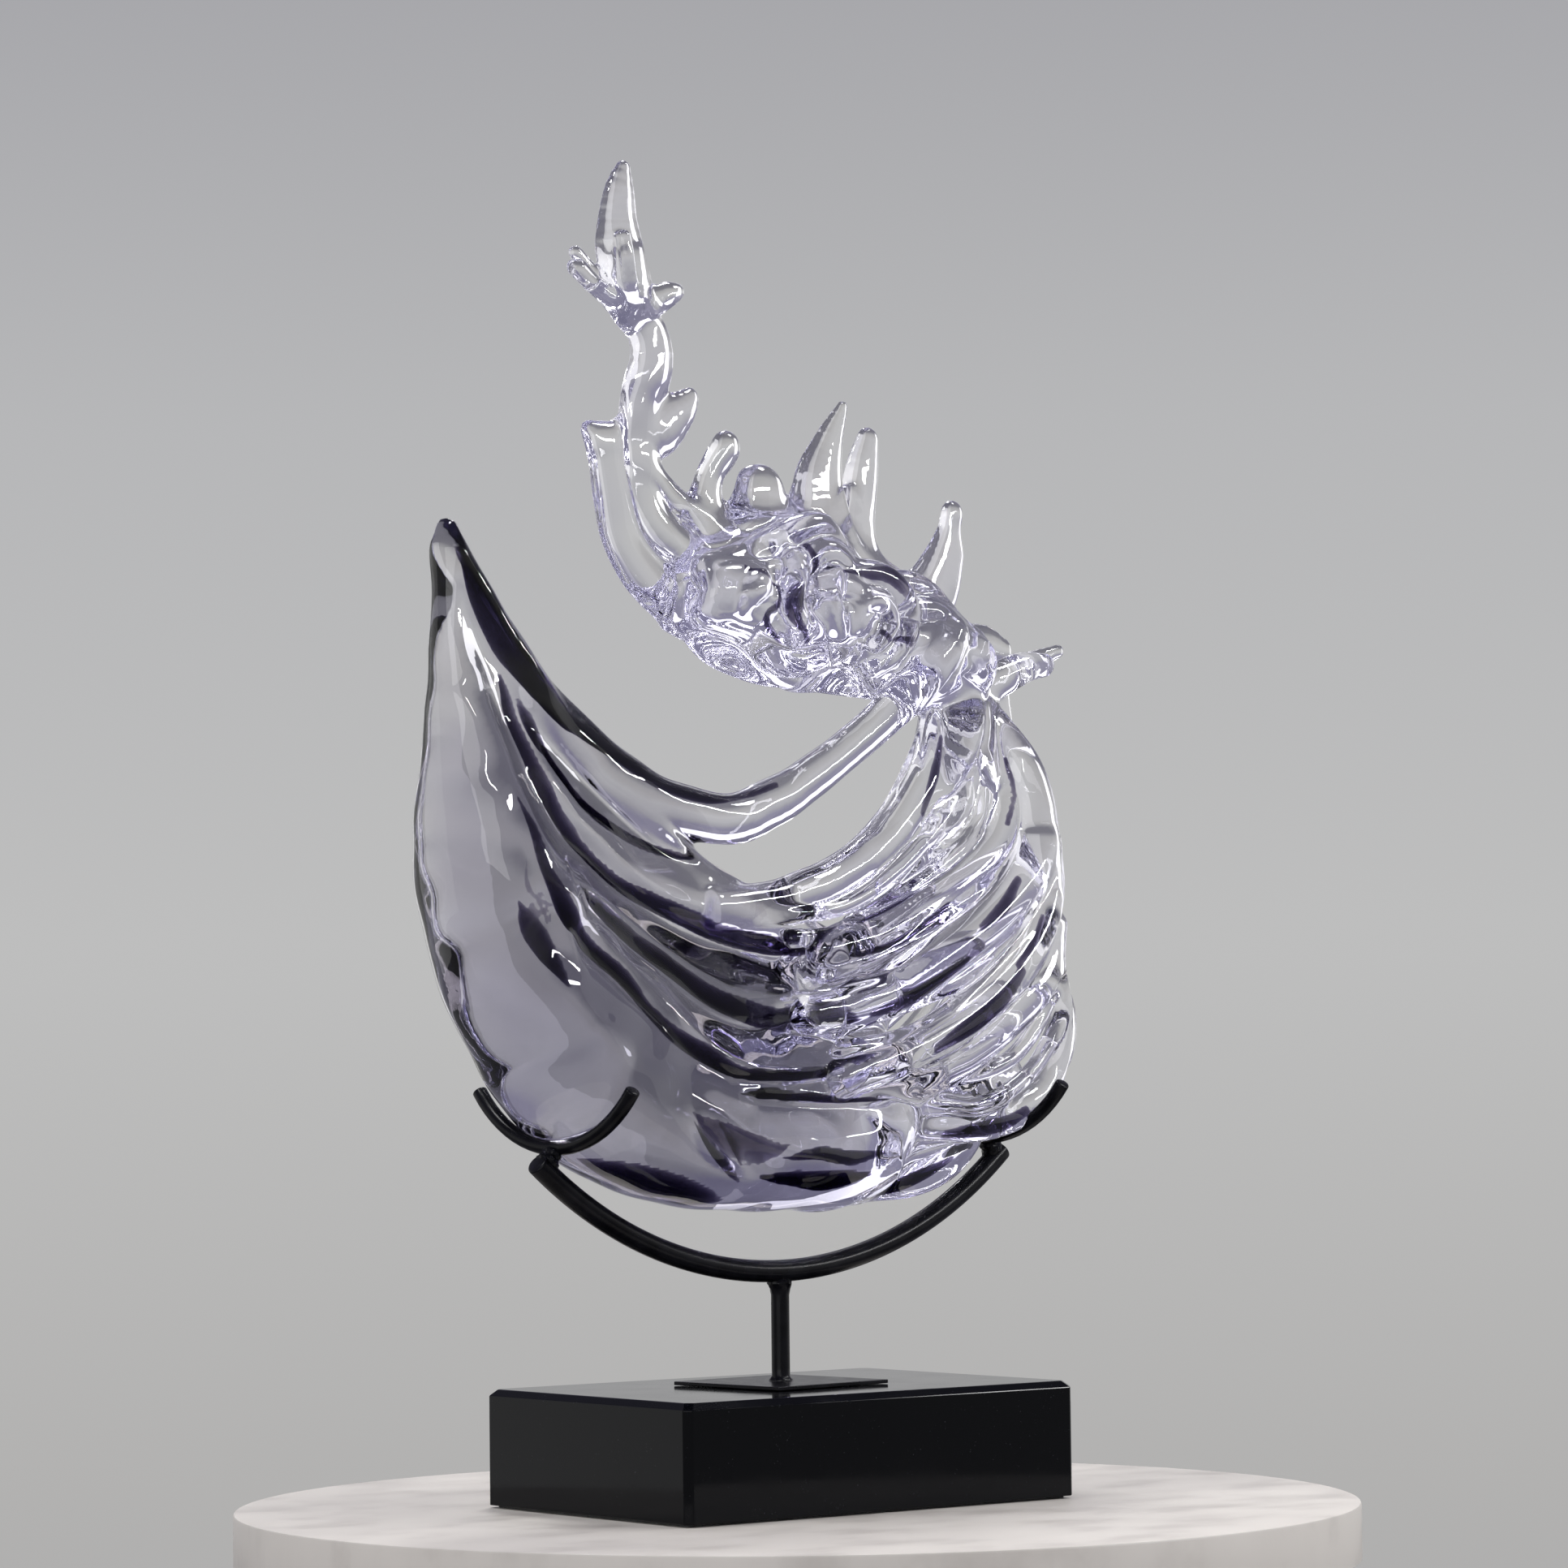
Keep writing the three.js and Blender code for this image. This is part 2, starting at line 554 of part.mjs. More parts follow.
// Rows of numbers along a Catmull-Rom curve through the given rows
function smoothRows(rows, steps) {
  const mirrored = (end, next) => end.map((value, column) => 2 * value - next[column]);
  const padded = [mirrored(rows[0], rows[1]), ...rows, mirrored(rows.at(-1), rows.at(-2))];
  const path = [];
  for (let span = 0; span < rows.length - 1; span += 1) {
    const [before, start, stop, after] = padded.slice(span, span + 4);
    for (let step = 0; step < steps; step += 1) {
      const t = step / steps;
      path.push(start.map((value, column) => 0.5 * (2 * value
        + (stop[column] - before[column]) * t
        + (2 * before[column] - 5 * value + 4 * stop[column] - after[column]) * t ** 2
        + (3 * value - before[column] - 3 * stop[column] + after[column]) * t ** 3)));
    }
  }
  return [...path, rows.at(-1)];
}

function smoothShare(low, high, value) {
  const share = THREE.MathUtils.clamp((value - low) / (high - low), 0, 1);
  return share * share * (3 - 2 * share);
}

function heightOn(line, x) {
  const after = line.findIndex(([pointX]) => pointX > x);
  const [x0, z0] = line[after - 1];
  const [x1, z1] = line[after];
  return THREE.MathUtils.mapLinear(x, x0, x1, z0, z1);
}

// The nearest place on a path of rows that start with x and height
function nearestOn(path, x, z) {
  let nearest = { gap: Infinity };
  let run = 0;
  for (let index = 0; index < path.length - 1; index += 1) {
    const [x0, z0, width0, depth0] = path[index];
    const [x1, z1, width1, depth1] = path[index + 1];
    const dx = x1 - x0;
    const dz = z1 - z0;
    const length = Math.hypot(dx, dz);
    const t = THREE.MathUtils.clamp(((x - x0) * dx + (z - z0) * dz) / length ** 2, 0, 1);
    const gap = Math.hypot(x - x0 - t * dx, z - z0 - t * dz);
    if (gap < nearest.gap) {
      nearest = {
        gap,
        above: (z - z0) * dx - (x - x0) * dz > 0,
        along: run + t * length,
        width: width0 + t * (width1 - width0),
        depth: depth0 + t * (depth1 - depth0),
      };
    }
    run += length;
  }
  return { ...nearest, length: run };
}

// How far a fold raises the blade above its line and lowers it below
function foldRelief({ slope, path }, x, z) {
  const { gap, above, along, width, depth, length } = nearestOn(path, x, z);
  const over = gap - width / 2;
  const ends = smoothShare(0, FOLD_END, along) * smoothShare(length, length - FOLD_END, along);
  const rise = (above ? gap : -gap) / width;
  const ramp = smoothShare(-FOLD_RAMP, FOLD_RAMP, rise) - 1 + FOLD_RAISED;
  const crown = FOLD_RAISED * smoothShare(FOLD_FADE, 0, over);
  const foot = (FOLD_RAISED - 1) * smoothShare(slope, 0, over);
  const beyond = above ? crown : foot;
  return depth * ends * (over < 0 ? ramp : beyond);
}

const bladePath = smoothRows([...BLADE_OUTLINE, BLADE_OUTLINE[0]], OUTLINE_STEPS);
const [frontSide, backSide] = [BLADE_FRONT, BLADE_BACK].map((side) => ({
  ...side,
  folds: side.folds.map(({ slope, line }) => ({ slope, path: smoothRows(line, OUTLINE_STEPS) })),
}));

// How far the blade's surface stands out from its middle plane
function bladeHalf(x, z, { half, rim, folds }) {
  const underside = heightOn(BLADE_UNDERSIDE, x);
  const up = (z - underside) / (heightOn(BLADE_TOP_LINE, x) - underside);
  const edgeDepth = nearestOn(bladePath, x, z).gap;
  const plain = THREE.MathUtils.lerp(half, BLADE_HALF, smoothShare(...TAPER_SHARES, up));
  const rounding = THREE.MathUtils.lerp(BLADE_RIM, rim, smoothShare(...TOP_RIM_SHARES, up));
  const relief = folds.reduce((sum, fold) => sum + foldRelief(fold, x, z), 0);
  const thick = Math.max(plain + smoothShare(0, FOLD_EDGE, edgeDepth) * relief, BLADE_LEAST_HALF);
  const edge = Math.max(0, (rounding - edgeDepth) / rounding);
  return thick * Math.sqrt(1 - edge ** 2);
}

// Blade: sections along x, each a closed ring up one side and down the other
function bladeSolid(grow) {
  const spread = (count) => Array.from(
    { length: count },
    (_, index) => (1 - Math.cos((Math.PI * index) / (count - 1))) / 2,
  );
  const across = bladePath.map(([x]) => x);
  const left = Math.min(...across) + BLADE_END_INSET;
  const right = Math.max(...across) - BLADE_END_INSET;
  const sections = spread(BLADE_STATIONS).map((share) => {
    const x = THREE.MathUtils.lerp(left, right, share);
    const heights = bladePath.slice(1).flatMap(([x1, z1], index) => {
      const [x0, z0] = bladePath[index];
      return (x0 > x) === (x1 > x) ? [] : [THREE.MathUtils.mapLinear(x, x0, x1, z0, z1)];
    });
    return { x, low: Math.min(...heights), high: Math.max(...heights) };
  });
  const inner = spread(BLADE_LEVELS).slice(1, -1);
  const rings = sections.map(({ x, low, high }) => {
    const outFrom = (share, side) => bladeHalf(x, THREE.MathUtils.lerp(low, high, share), side) + grow;
    const place = (share, y) => wavePoint(x, y, THREE.MathUtils.lerp(low - grow, high + grow, share));
    return [
      place(0, 0),
      ...inner.map((share) => place(share, outFrom(share, backSide))),
      place(1, 0),
      ...inner.toReversed().map((share) => place(share, -outFrom(share, frontSide))),
    ];
  });
  const endPoint = ({ x, low, high }, reach) => wavePoint(x + reach, 0, (low + high) / 2);
  const start = endPoint(sections[0], -BLADE_END_INSET - grow);
  const end = endPoint(sections.at(-1), BLADE_END_INSET + grow);
  return solidFrom(skinned(rings, start, end));
}

// A strand: oval rings along a smooth curve with rounded ends
const ACROSS = new THREE.Vector3(0, 1, 0);
const ROUND_END = [[0.6, 0.78], [0, 1]];
const POLE_REACH = 0.95;

function strandSolid({ points, flat }, grow) {
  const curve = new THREE.CatmullRomCurve3(points.map(([x, y, height]) => wavePoint(x, y, height)));
  const radii = points.map((point) => point[3] + grow);
  const steps = STEPS_PER_POINT * (points.length - 1);
  const ringAt = (share, shift, size) => {
    const reached = share * (points.length - 1);
    const before = Math.min(Math.floor(reached), points.length - 2);
    const radius = THREE.MathUtils.lerp(radii[before], radii[before + 1], reached - before);
    const tangent = curve.getTangent(share);
    const side = new THREE.Vector3().crossVectors(tangent, ACROSS).normalize();
    const depth = new THREE.Vector3().crossVectors(tangent, side);
    const centre = curve.getPoint(share).addScaledVector(tangent, shift * radius);
    return Array.from({ length: STRAND_SIDES }, (_, index) => {
      const angle = (2 * Math.PI * (index + 0.5)) / STRAND_SIDES;
      return centre.clone()
        .addScaledVector(side, size * radius * Math.cos(angle))
        .addScaledVector(depth, size * (radius * flat + grow * (1 - flat)) * Math.sin(angle));
    });
  };
  const poleAt = (share, end) => {
    const radius = end < 0 ? radii[0] : radii.at(-1);
    return curve.getPoint(share).addScaledVector(curve.getTangent(share), end * POLE_REACH * radius);
  };
  const startRings = ROUND_END.map(([shift, size]) => ringAt(0, -shift, size));
  const endRings = ROUND_END.toReversed().map(([shift, size]) => ringAt(1, shift, size));
  const middle = Array.from({ length: steps - 1 }, (_, index) => ringAt((index + 1) / steps, 0, 1));
  return solidFrom(skinned([...startRings, ...middle, ...endRings], poleAt(0, -1), poleAt(1, 1)));
}

function castingSolid(casting, grow) {
  const strands = casting.strands.map((strand) => strandSolid(strand, grow));
  return joined(casting.blade ? [bladeSolid(grow), ...strands] : strands);
}

// Trimming may leave flakes beside the casting, which are knocked off
function largestPiece(solid) {
  return solid.decompose().reduce((best, piece) => (piece.volume() > best.volume() ? piece : best));
}

// Each casting is cut back from those bonded before it and from the bars that carry it
function waveMeshes() {
  let taken = cradleSolid(-CRADLE_HALF_SPAN, SEAT_GAP).add(cradleSolid(CRADLE_HALF_SPAN, SEAT_GAP));
  return CASTINGS.map((casting) => {
    const body = largestPiece(castingSolid(casting, 0).subtract(taken));
    taken = taken.add(castingSolid(casting, BOND_GAP));
    return named(casting.name, geometryFrom(body), RESIN[casting.tint]);
  });
}

// Assembly
const sculpture = new THREE.Group();
sculpture.add(named('plinth', plinth(), STONE));
sculpture.add(named('base_felt', baseFelt(), FELT));

const stand = new THREE.Group();
stand.rotation.z = THREE.MathUtils.degToRad(STAND_TURN_DEGREES);
stand.add(named('washer', washer(), ZINC));
stand.add(named('fixing_screw', fixingScrew(), ZINC));
stand.add(named('mounting_plate', mountingPlate(), BLACK_STEEL));
stand.add(named('post', post(), BLACK_STEEL));
stand.add(named('bow', geometryFrom(bowSolid(0)), BLACK_STEEL));
[['left', -CRADLE_HALF_SPAN], ['right', CRADLE_HALF_SPAN]].forEach(([side, x]) => {
  stand.add(named(`${side}_cradle`, geometryFrom(cradleSolid(x, 0)), BLACK_STEEL));
  stand.add(named(`${side}_stub`, cradleStub(x), BLACK_STEEL));
});
waveMeshes().forEach((mesh) => stand.add(mesh));
sculpture.add(stand);

export default sculpture;
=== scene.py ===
"""Looks of the resin wave, its welded cradle and its polished plinth, in metres in the part's frame."""

import json
import math
from types import SimpleNamespace

import bmesh
import bpy
import numpy as np
import openvdb
from mathutils import Matrix, Vector


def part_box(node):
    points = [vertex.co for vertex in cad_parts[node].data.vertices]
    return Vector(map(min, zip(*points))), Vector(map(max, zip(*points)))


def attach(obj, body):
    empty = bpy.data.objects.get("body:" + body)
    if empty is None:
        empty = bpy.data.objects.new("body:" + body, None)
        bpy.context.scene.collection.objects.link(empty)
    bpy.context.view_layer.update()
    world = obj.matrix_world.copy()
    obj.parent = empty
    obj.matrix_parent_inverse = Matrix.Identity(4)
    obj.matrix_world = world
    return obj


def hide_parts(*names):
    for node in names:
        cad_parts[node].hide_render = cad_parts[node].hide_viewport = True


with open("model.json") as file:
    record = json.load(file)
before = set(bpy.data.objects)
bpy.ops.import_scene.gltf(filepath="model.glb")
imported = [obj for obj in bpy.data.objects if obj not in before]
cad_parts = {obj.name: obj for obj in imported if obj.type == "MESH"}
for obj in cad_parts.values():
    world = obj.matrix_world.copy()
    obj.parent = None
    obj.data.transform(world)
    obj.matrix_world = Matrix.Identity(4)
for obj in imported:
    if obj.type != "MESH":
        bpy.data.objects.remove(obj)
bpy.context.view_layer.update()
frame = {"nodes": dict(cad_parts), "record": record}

# Shared sizes in millimetres, in the stand's own frame: x along the bow, y across it, z up
MM = 0.001
STAND_TURN = math.radians(5.6)
CRADLE_BAR = 8.0
CRADLE_HALF_SPAN = 160.0
CRADLE_HALF_WIDTH = 61.0
CRADLE_RISE = 30.0
CRADLE_RADIUS = (CRADLE_HALF_WIDTH ** 2 + CRADLE_RISE ** 2) / (2 * CRADLE_RISE)
SEAT_GAP = 0.4
SEAT_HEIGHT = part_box("left_cradle")[0].z / MM + CRADLE_BAR
STAND_FRAME = Matrix.Rotation(STAND_TURN, 4, "Z") @ Matrix.Scale(MM, 4)
BOW_BAR = 12.0
BOW_HALF_CHORD = 173.0
BOW_RISE = 62.0
BOW_RADIUS = (BOW_HALF_CHORD ** 2 + BOW_RISE ** 2) / (2 * BOW_RISE)
POST_RADIUS = 5.0
POST_HEIGHT = 53.0
STUB_LENGTH = 4.0
PLATE_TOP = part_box("mounting_plate")[1].z / MM
BOW_LOW = PLATE_TOP + POST_HEIGHT + BOW_BAR / 2
WAVE_FRAME = STAND_FRAME @ Matrix.Translation((0, 0, SEAT_HEIGHT))

# Photograph's view: camera place in the plinth's frame, in metres, and its field of view
CAMERA_PLACE = Vector((-1.7803, -2.2897, 0.2422))
CAMERA_TURN = math.radians(37.97)
CAMERA_PITCH = 0.0504
CAMERA_ROLL = -0.0113
PHOTO_SIDE = 1932
FOCAL_PIXELS = 6583.46


# Helpers for nodes, meshes and materials
def new_material(name, values):
    """A material, its shader and its output."""
    material = bpy.data.materials.new(name)
    material.use_nodes = True
    nodes = material.node_tree.nodes
    nodes.clear()
    output = nodes.new("ShaderNodeOutputMaterial")
    shader = nodes.new("ShaderNodeBsdfPrincipled")
    for key, value in values.items():
        shader.inputs[key].default_value = value
    link(shader.outputs["BSDF"], output.inputs["Surface"])
    return material, shader, output


def add_node(owner, kind, **values):
    """A node of a material or the world, with its inputs and settings."""
    node = owner.node_tree.nodes.new(kind)
    for key, value in values.items():
        if key in node.inputs:
            node.inputs[key].default_value = value
        else:
            setattr(node, key, value)
    return node


def link(source, target):
    target.id_data.links.new(source, target)


def new_object(name, data):
    piece = bpy.data.objects.new(name, data)
    bpy.context.scene.collection.objects.link(piece)
    return piece


def mesh_object(name, vertices, faces, material):
    mesh = bpy.data.meshes.new(name)
    mesh.from_pydata(vertices, [], faces)
    mesh.materials.append(material)
    mesh.shade_smooth()
    return new_object(name, mesh)


def apply_modifier(piece, kind, **values):
    modifier = piece.modifiers.new(kind.lower(), kind)
    for key, value in values.items():
        setattr(modifier, key, value)
    bpy.context.view_layer.objects.active = piece
    with bpy.context.temp_override(object=piece, active_object=piece):
        bpy.ops.object.modifier_apply(modifier=modifier.name)


def edit_mesh(mesh, change):
    shell = bmesh.new()
    shell.from_mesh(mesh)
    change(shell)
    shell.to_mesh(mesh)
    shell.free()


def smooth_path(points, spacing):
    """A smooth curve through rows of numbers, as rows about spacing apart."""
    rows = np.array(points, float)
    ends = np.vstack([2 * rows[0] - rows[1], rows, 2 * rows[-1] - rows[-2]])
    out = []
    for before, start, stop, after in zip(ends, ends[1:], ends[2:], ends[3:]):
        count = max(2, round(np.linalg.norm((stop - start)[:3]) / spacing))
        for t in np.arange(count) / count:
            out.append(0.5 * (2 * start + (stop - before) * t
                              + (2 * before - 5 * start + 4 * stop - after) * t ** 2
                              + (3 * start - before - 3 * stop + after) * t ** 3))
    out.append(rows[-1])
    return np.array(out)


def smoothstep(low, high, value):
    share = np.clip((value - low) / (high - low), 0, 1)
    return share * share * (3 - 2 * share)


def spline(knots, values):
    """A natural cubic spline through the knots, as a function of an array."""
    knots, values = np.array(knots, float), np.array(values, float)
    gaps = np.diff(knots)
    count = len(knots)
    system = np.eye(count)
    right = np.zeros(count)
    for i in range(1, count - 1):
        system[i, i - 1:i + 2] = gaps[i - 1], 2 * (gaps[i - 1] + gaps[i]), gaps[i]
        right[i] = 6 * ((values[i + 1] - values[i]) / gaps[i] - (values[i] - values[i - 1]) / gaps[i - 1])
    bends = np.linalg.solve(system, right)

    def evaluate(at):
        i = np.clip(np.searchsorted(knots, at) - 1, 0, count - 2)
        gap = gaps[i]
        a, b = (knots[i + 1] - at) / gap, (at - knots[i]) / gap
        bow = ((a ** 3 - a) * bends[i] + (b ** 3 - b) * bends[i + 1]) * gap ** 2 / 6
        return a * values[i] + b * values[i + 1] + bow

    return evaluate


# Grid over the wave that holds a signed field: below zero is resin, and heights are over the seat
GRID_STEP = 1.35
GRID_LOW = np.array([-266.0, -70.0, -56.0])
GRID_HIGH = np.array([250.0, 70.0, 540.0])
FAR = 24.0
HUGE = 1e9
TINY = 1e-9
grid_axes = [np.arange(low, high, GRID_STEP) for low, high in zip(GRID_LOW, GRID_HIGH)]
field = np.full([len(axis) for axis in grid_axes], FAR, np.float32)


def window(low, high):
    """Slices of the grid from corner to corner, and the points there as three broadcast arrays."""
    first = np.clip(np.floor((low - GRID_LOW) / GRID_STEP).astype(int), 0, None)
    last = np.clip(np.ceil((high - GRID_LOW) / GRID_STEP).astype(int) + 1, 0, field.shape)
    cut = tuple(slice(a, b) for a, b in zip(first, last))
    x, y, z = (axis[s].astype(np.float32) for axis, s in zip(grid_axes, cut))
    return cut, x[:, None, None], y[None, :, None], z[None, None, :]


def soft_min(a, b, blend):
    """The lower of two fields, rounded where they meet."""
    overlap = np.maximum(blend - np.abs(a - b), 0) / blend
    return np.minimum(a, b) - overlap * overlap * blend / 4


# Blade's outline as [x, height]: from its tip down the left, along the underside and back over the top
BLADE_OUTLINE = [
    (-232, 322), (-238, 309), (-238, 282), (-238, 254), (-238, 226), (-238, 196), (-237, 168),
    (-234, 140), (-229, 114), (-221, 88), (-209, 62), (-194, 38), (-178, 16), (-157, -4), (-130, -20),
    (-98, -32), (-56, -39), (-8, -41), (38, -40), (62, -30), (72, 0), (72, 44), (62, 82), (40, 108),
    (4, 126), (-36, 140), (-70, 158), (-104, 188), (-145, 221), (-177, 253), (-209, 291), (-224, 313),
]
# Blade's box, half thickness and rim, and where both grow thin as shares of its height
BLADE_LOW = np.array([-262.0, -64.0, -54.0])
BLADE_HIGH = np.array([86.0, 64.0, 332.0])
BLADE_HALF = 52.0
BLADE_LEAST = 5.0
BLADE_THINS = (0.88, 0.22)
RIM_NARROWS = (0.45, 0.9)
BLADE_TOP = SimpleNamespace(front_half=14.0, front_rim=12.0, back_half=10.0, back_rim=7.0)
BLADE_RIM = 33.0
UNDERSIDE = [(-260, 110), (-226, 76), (-180, 17), (-135, -19), (-60, -39), (40, -40), (80, -40)]
TOP_LINE = [(-260, 330), (-226, 314), (-180, 262), (-135, 216), (-60, 154), (30, 119), (80, 100)]

# Folds of the blade: the length of the slope below each, and its line of [x, height, width, depth]
FRONT_FOLDS = [
    (34, [(-232, 308, 12, 2), (-222, 292, 20, 5), (-210, 272, 26, 9), (-200, 250, 24, 11),
        (-195, 220, 16, 11), (-188, 190, 13, 11), (-172, 166, 12, 11), (-151, 152, 12, 11),
        (-123, 133, 12, 11), (-89, 119, 14, 12), (-48, 108, 15, 13), (0, 100, 14, 13), (30, 98, 10, 12)]),
    (24, [(-196, 244, 20, 5), (-182, 222, 16, 7), (-159, 203, 10, 8), (-125, 178, 8, 8),
        (-103, 163, 8, 8), (-80, 152, 8, 8), (-58, 147, 7, 6)]),
    (34, [(-190, 132, 6, 3), (-172, 126, 10, 8), (-155, 118, 12, 10), (-132, 105, 13, 11),
        (-104, 90, 15, 12), (-75, 77, 19, 14), (-46, 69, 21, 15), (-16, 69, 15, 13), (24, 74, 9, 10)]),
    (36, [(-208, 140, 6, 4), (-200, 127, 10, 9), (-190, 119, 12, 10), (-179, 110, 13, 10),
        (-151, 89, 13, 10), (-123, 68, 12, 10), (-95, 46, 11, 10), (-66, 34, 10, 9), (-18, 32, 9, 9),
        (36, 39, 8, 8)]),
    (26, [(-214, 190, 6, 3), (-211, 166, 11, 6), (-206, 142, 13, 8), (-199, 120, 13, 8),
        (-190, 100, 10, 7), (-178, 82, 5, 4)]),
    (18, [(-74, 25, 5, 4), (-62, 22, 8, 6), (-21, 19, 8, 6), (40, 17, 6, 5)]),
    (24, [(-112, 24, 5, 4), (-96, 10, 12, 8), (-74, -4, 14, 9), (-40, -14, 12, 8), (0, -18, 8, 6)]),
    (20, [(-158, -4, 5, 4), (-123, -14, 9, 6), (-88, -22, 9, 6), (-50, -30, 6, 4)]),
]
BACK_FOLDS = [
    (44, [(-128, 142, 18, 6), (-80, 122, 18, 8), (-30, 112, 18, 8), (24, 108, 14, 6)]),
    (44, [(-116, 69, 18, 6), (-80, 56, 18, 8), (-30, 52, 18, 8), (24, 56, 14, 6)]),
    (40, [(-122, 9, 14, 5), (-100, 2, 14, 6), (-70, -4, 14, 6), (-6, -6, 12, 5)]),
]
# Painted dark reflections: dark tinted bands just under the front of the blade, put where its folds turn
# steeply and mirror the dark surroundings: lines of [x, height, width, thickness at the middle]
PAINTED_DARK_BANDS = [
    [(-228, 314, 5, 5), (-225, 301, 11, 7), (-218, 285, 15, 7), (-208, 268, 16, 7), (-194, 248, 15, 7),
     (-171, 226, 13, 7), (-145, 211, 11, 6), (-115, 198, 8, 5), (-80, 187, 4, 3)],
    [(-194, 231, 4, 6), (-187, 217, 7, 7), (-178, 199, 8, 7), (-156, 175, 8, 7), (-126, 160, 8, 7),
     (-95, 152, 7, 7), (-66, 148, 5, 6)],
    [(-204, 245, 5, 6), (-196, 217, 8, 7), (-187, 189, 9, 7), (-170, 162, 9, 7), (-135, 135, 10, 7),
     (-108, 125, 11, 7), (-81, 117, 11, 7), (-58, 110, 12, 7), (-34, 105, 12, 7), (-6, 102, 11, 7),
     (16, 101, 8, 5), (40, 105, 4, 2)],
    [(-180, 131, 5, 6), (-160, 121, 9, 7), (-134, 105, 11, 7), (-107, 91, 11, 7), (-77, 76, 12, 7),
     (-52, 68, 14, 7), (-24, 62, 16, 7), (2, 65, 13, 7), (22, 70, 8, 4), (44, 77, 4, 2)],
    [(-214, 181, 3, 3), (-207, 161, 5, 4), (-202, 140, 6, 5), (-192, 122, 8, 6), (-173, 102, 11, 7),
     (-146, 85, 10, 7), (-129, 68, 9, 7), (-112, 54, 11, 7), (-91, 44, 11, 7), (-66, 34, 7, 7),
     (-21, 33, 6, 6), (18, 36, 5, 5), (44, 40, 3, 2)],
    [(-216, 126, 6, 1), (-210, 115, 13, 3), (-202, 102, 14, 4), (-194, 88, 9, 5), (-187, 75, 4, 3)],
    [(-222, 158, 6, 0.4), (-212, 138, 14, 0.7), (-202, 120, 14, 0.9), (-194, 106, 8, 0.7)],
    [(-186, 74, 3, 2), (-178, 64, 7, 4), (-170, 53, 3, 2)],
    [(-70, 22, 4, 4), (-47, 23, 6, 7), (-24, 21, 5, 6), (42, 18, 3, 4)],
    [(-162, -7, 4, 3), (-134, -14, 8, 6), (-111, -20, 9, 6), (-75, -30, 7, 5), (-60, -33, 4, 3)],
    [(-112, 17, 5, 1), (-94, 6, 12, 1.6), (-76, -3, 18, 1.8), (-58, -8, 16, 1.6), (-40, -4, 8, 1)],
    [(-108, 12, 3, 3), (-92, -5, 5, 5), (-76, -16, 5, 4), (-60, -25, 3, 2)],
    [(-88, 9, 3, 3), (-76, -3, 6, 5), (-67, -15, 4, 3)],
    [(-48, 10, 3, 2), (-36, 5, 8, 3), (-22, 1, 4, 2)],
    [(-56, -20, 4, 4), (-27, -21, 9, 6), (-3, -23, 11, 6), (30, -20, 5, 4)],
    [(-50, -11, 3, 2), (-18, -9, 7, 4), (8, -12, 8, 4), (38, -9, 4, 2)],
]
# Painted dark reflections that run on within the rim, the splash and the crest, as dark tinted lines of
# [x, y, height, radius]
PAINTED_DARK_LINES = [
    [(-176, -6, 244, 3), (-150, -6, 222, 6), (-120, -8, 202, 7), (-92, -10, 188, 6), (-64, -12, 181, 5),
     (-36, -12, 181, 3), (-12, -13, 187, 2)],
    [(30, -31, 98, 2), (56, -32, 103, 3.5), (84, -31, 114, 3), (100, -29, 123, 2)],
    [(26, -43, 66, 2), (54, -45, 74, 4), (80, -46, 86, 3.5), (98, -45, 96, 2)],
    [(70, -47, 46, 2), (102, -48, 61, 4), (126, -47, 76, 3), (140, -46, 88, 2)],
    [(112, -36, 26, 2), (138, -37, 35, 3.5), (160, -36, 46, 3), (172, -34, 58, 2)],
    [(138, -45, 90, 2), (151, -44, 102, 3), (162, -42, 117, 2)],
    [(112, -43, 110, 2), (130, -43, 122, 3), (146, -41, 137, 2)],
    [(92, -31, 0, 2), (118, -32, 2, 3.5), (142, -30, 5, 3), (160, -29, 11, 2)],
    [(56, -4, -27, 3), (80, -4, -26, 6), (104, -4, -20, 5), (124, -3, -12, 2)],
    [(96, -14, 176, 2), (110, -12, 198, 3), (118, -10, 218, 2)],
    [(150, -30, 170, 2), (160, -26, 188, 2.8), (162, -18, 208, 2)],
    [(60, 40, 88, 2), (90, 42, 100, 4), (120, 40, 116, 3), (140, 38, 132, 2)],
    [(80, 44, 46, 2), (110, 45, 60, 4), (140, 43, 82, 3), (156, 40, 100, 2)],
    [(-40, -18, 302, 1.8), (-14, -20, 291, 2.2), (-28, -22, 279, 2.2), (-12, -20, 264, 1.8)],
    [(-4, -14, 324, 1.8), (12, -18, 312, 2.4), (-8, -22, 286, 2.4), (4, -22, 268, 2),
     (-5, -18, 255, 1.8)],
    [(28, -22, 304, 1.8), (62, -24, 305, 2.4), (87, -22, 288, 2.4), (80, -22, 271, 2.2),
     (60, -22, 273, 1.8)],
]
PAINTED_LINE_SHAPE = {"blend": 1, "flat": 0.7}
# How deep, wide and far back the painted dark reflection bands lie, and how folds rise, fall and end
PAINTED_BAND_INSET = 1.2
PAINTED_BAND_WIDEN = 0.95
PAINTED_BAND_LEAST = 0.1
PAINTED_BAND_BACK = -2.0
FOLD_RAISED = 0.35
FOLD_FALL = 0.6
FOLD_FADE = 34.0
FOLD_END = 24.0
FOLD_EDGE = 12.0
LINE_SPACING = 4.0


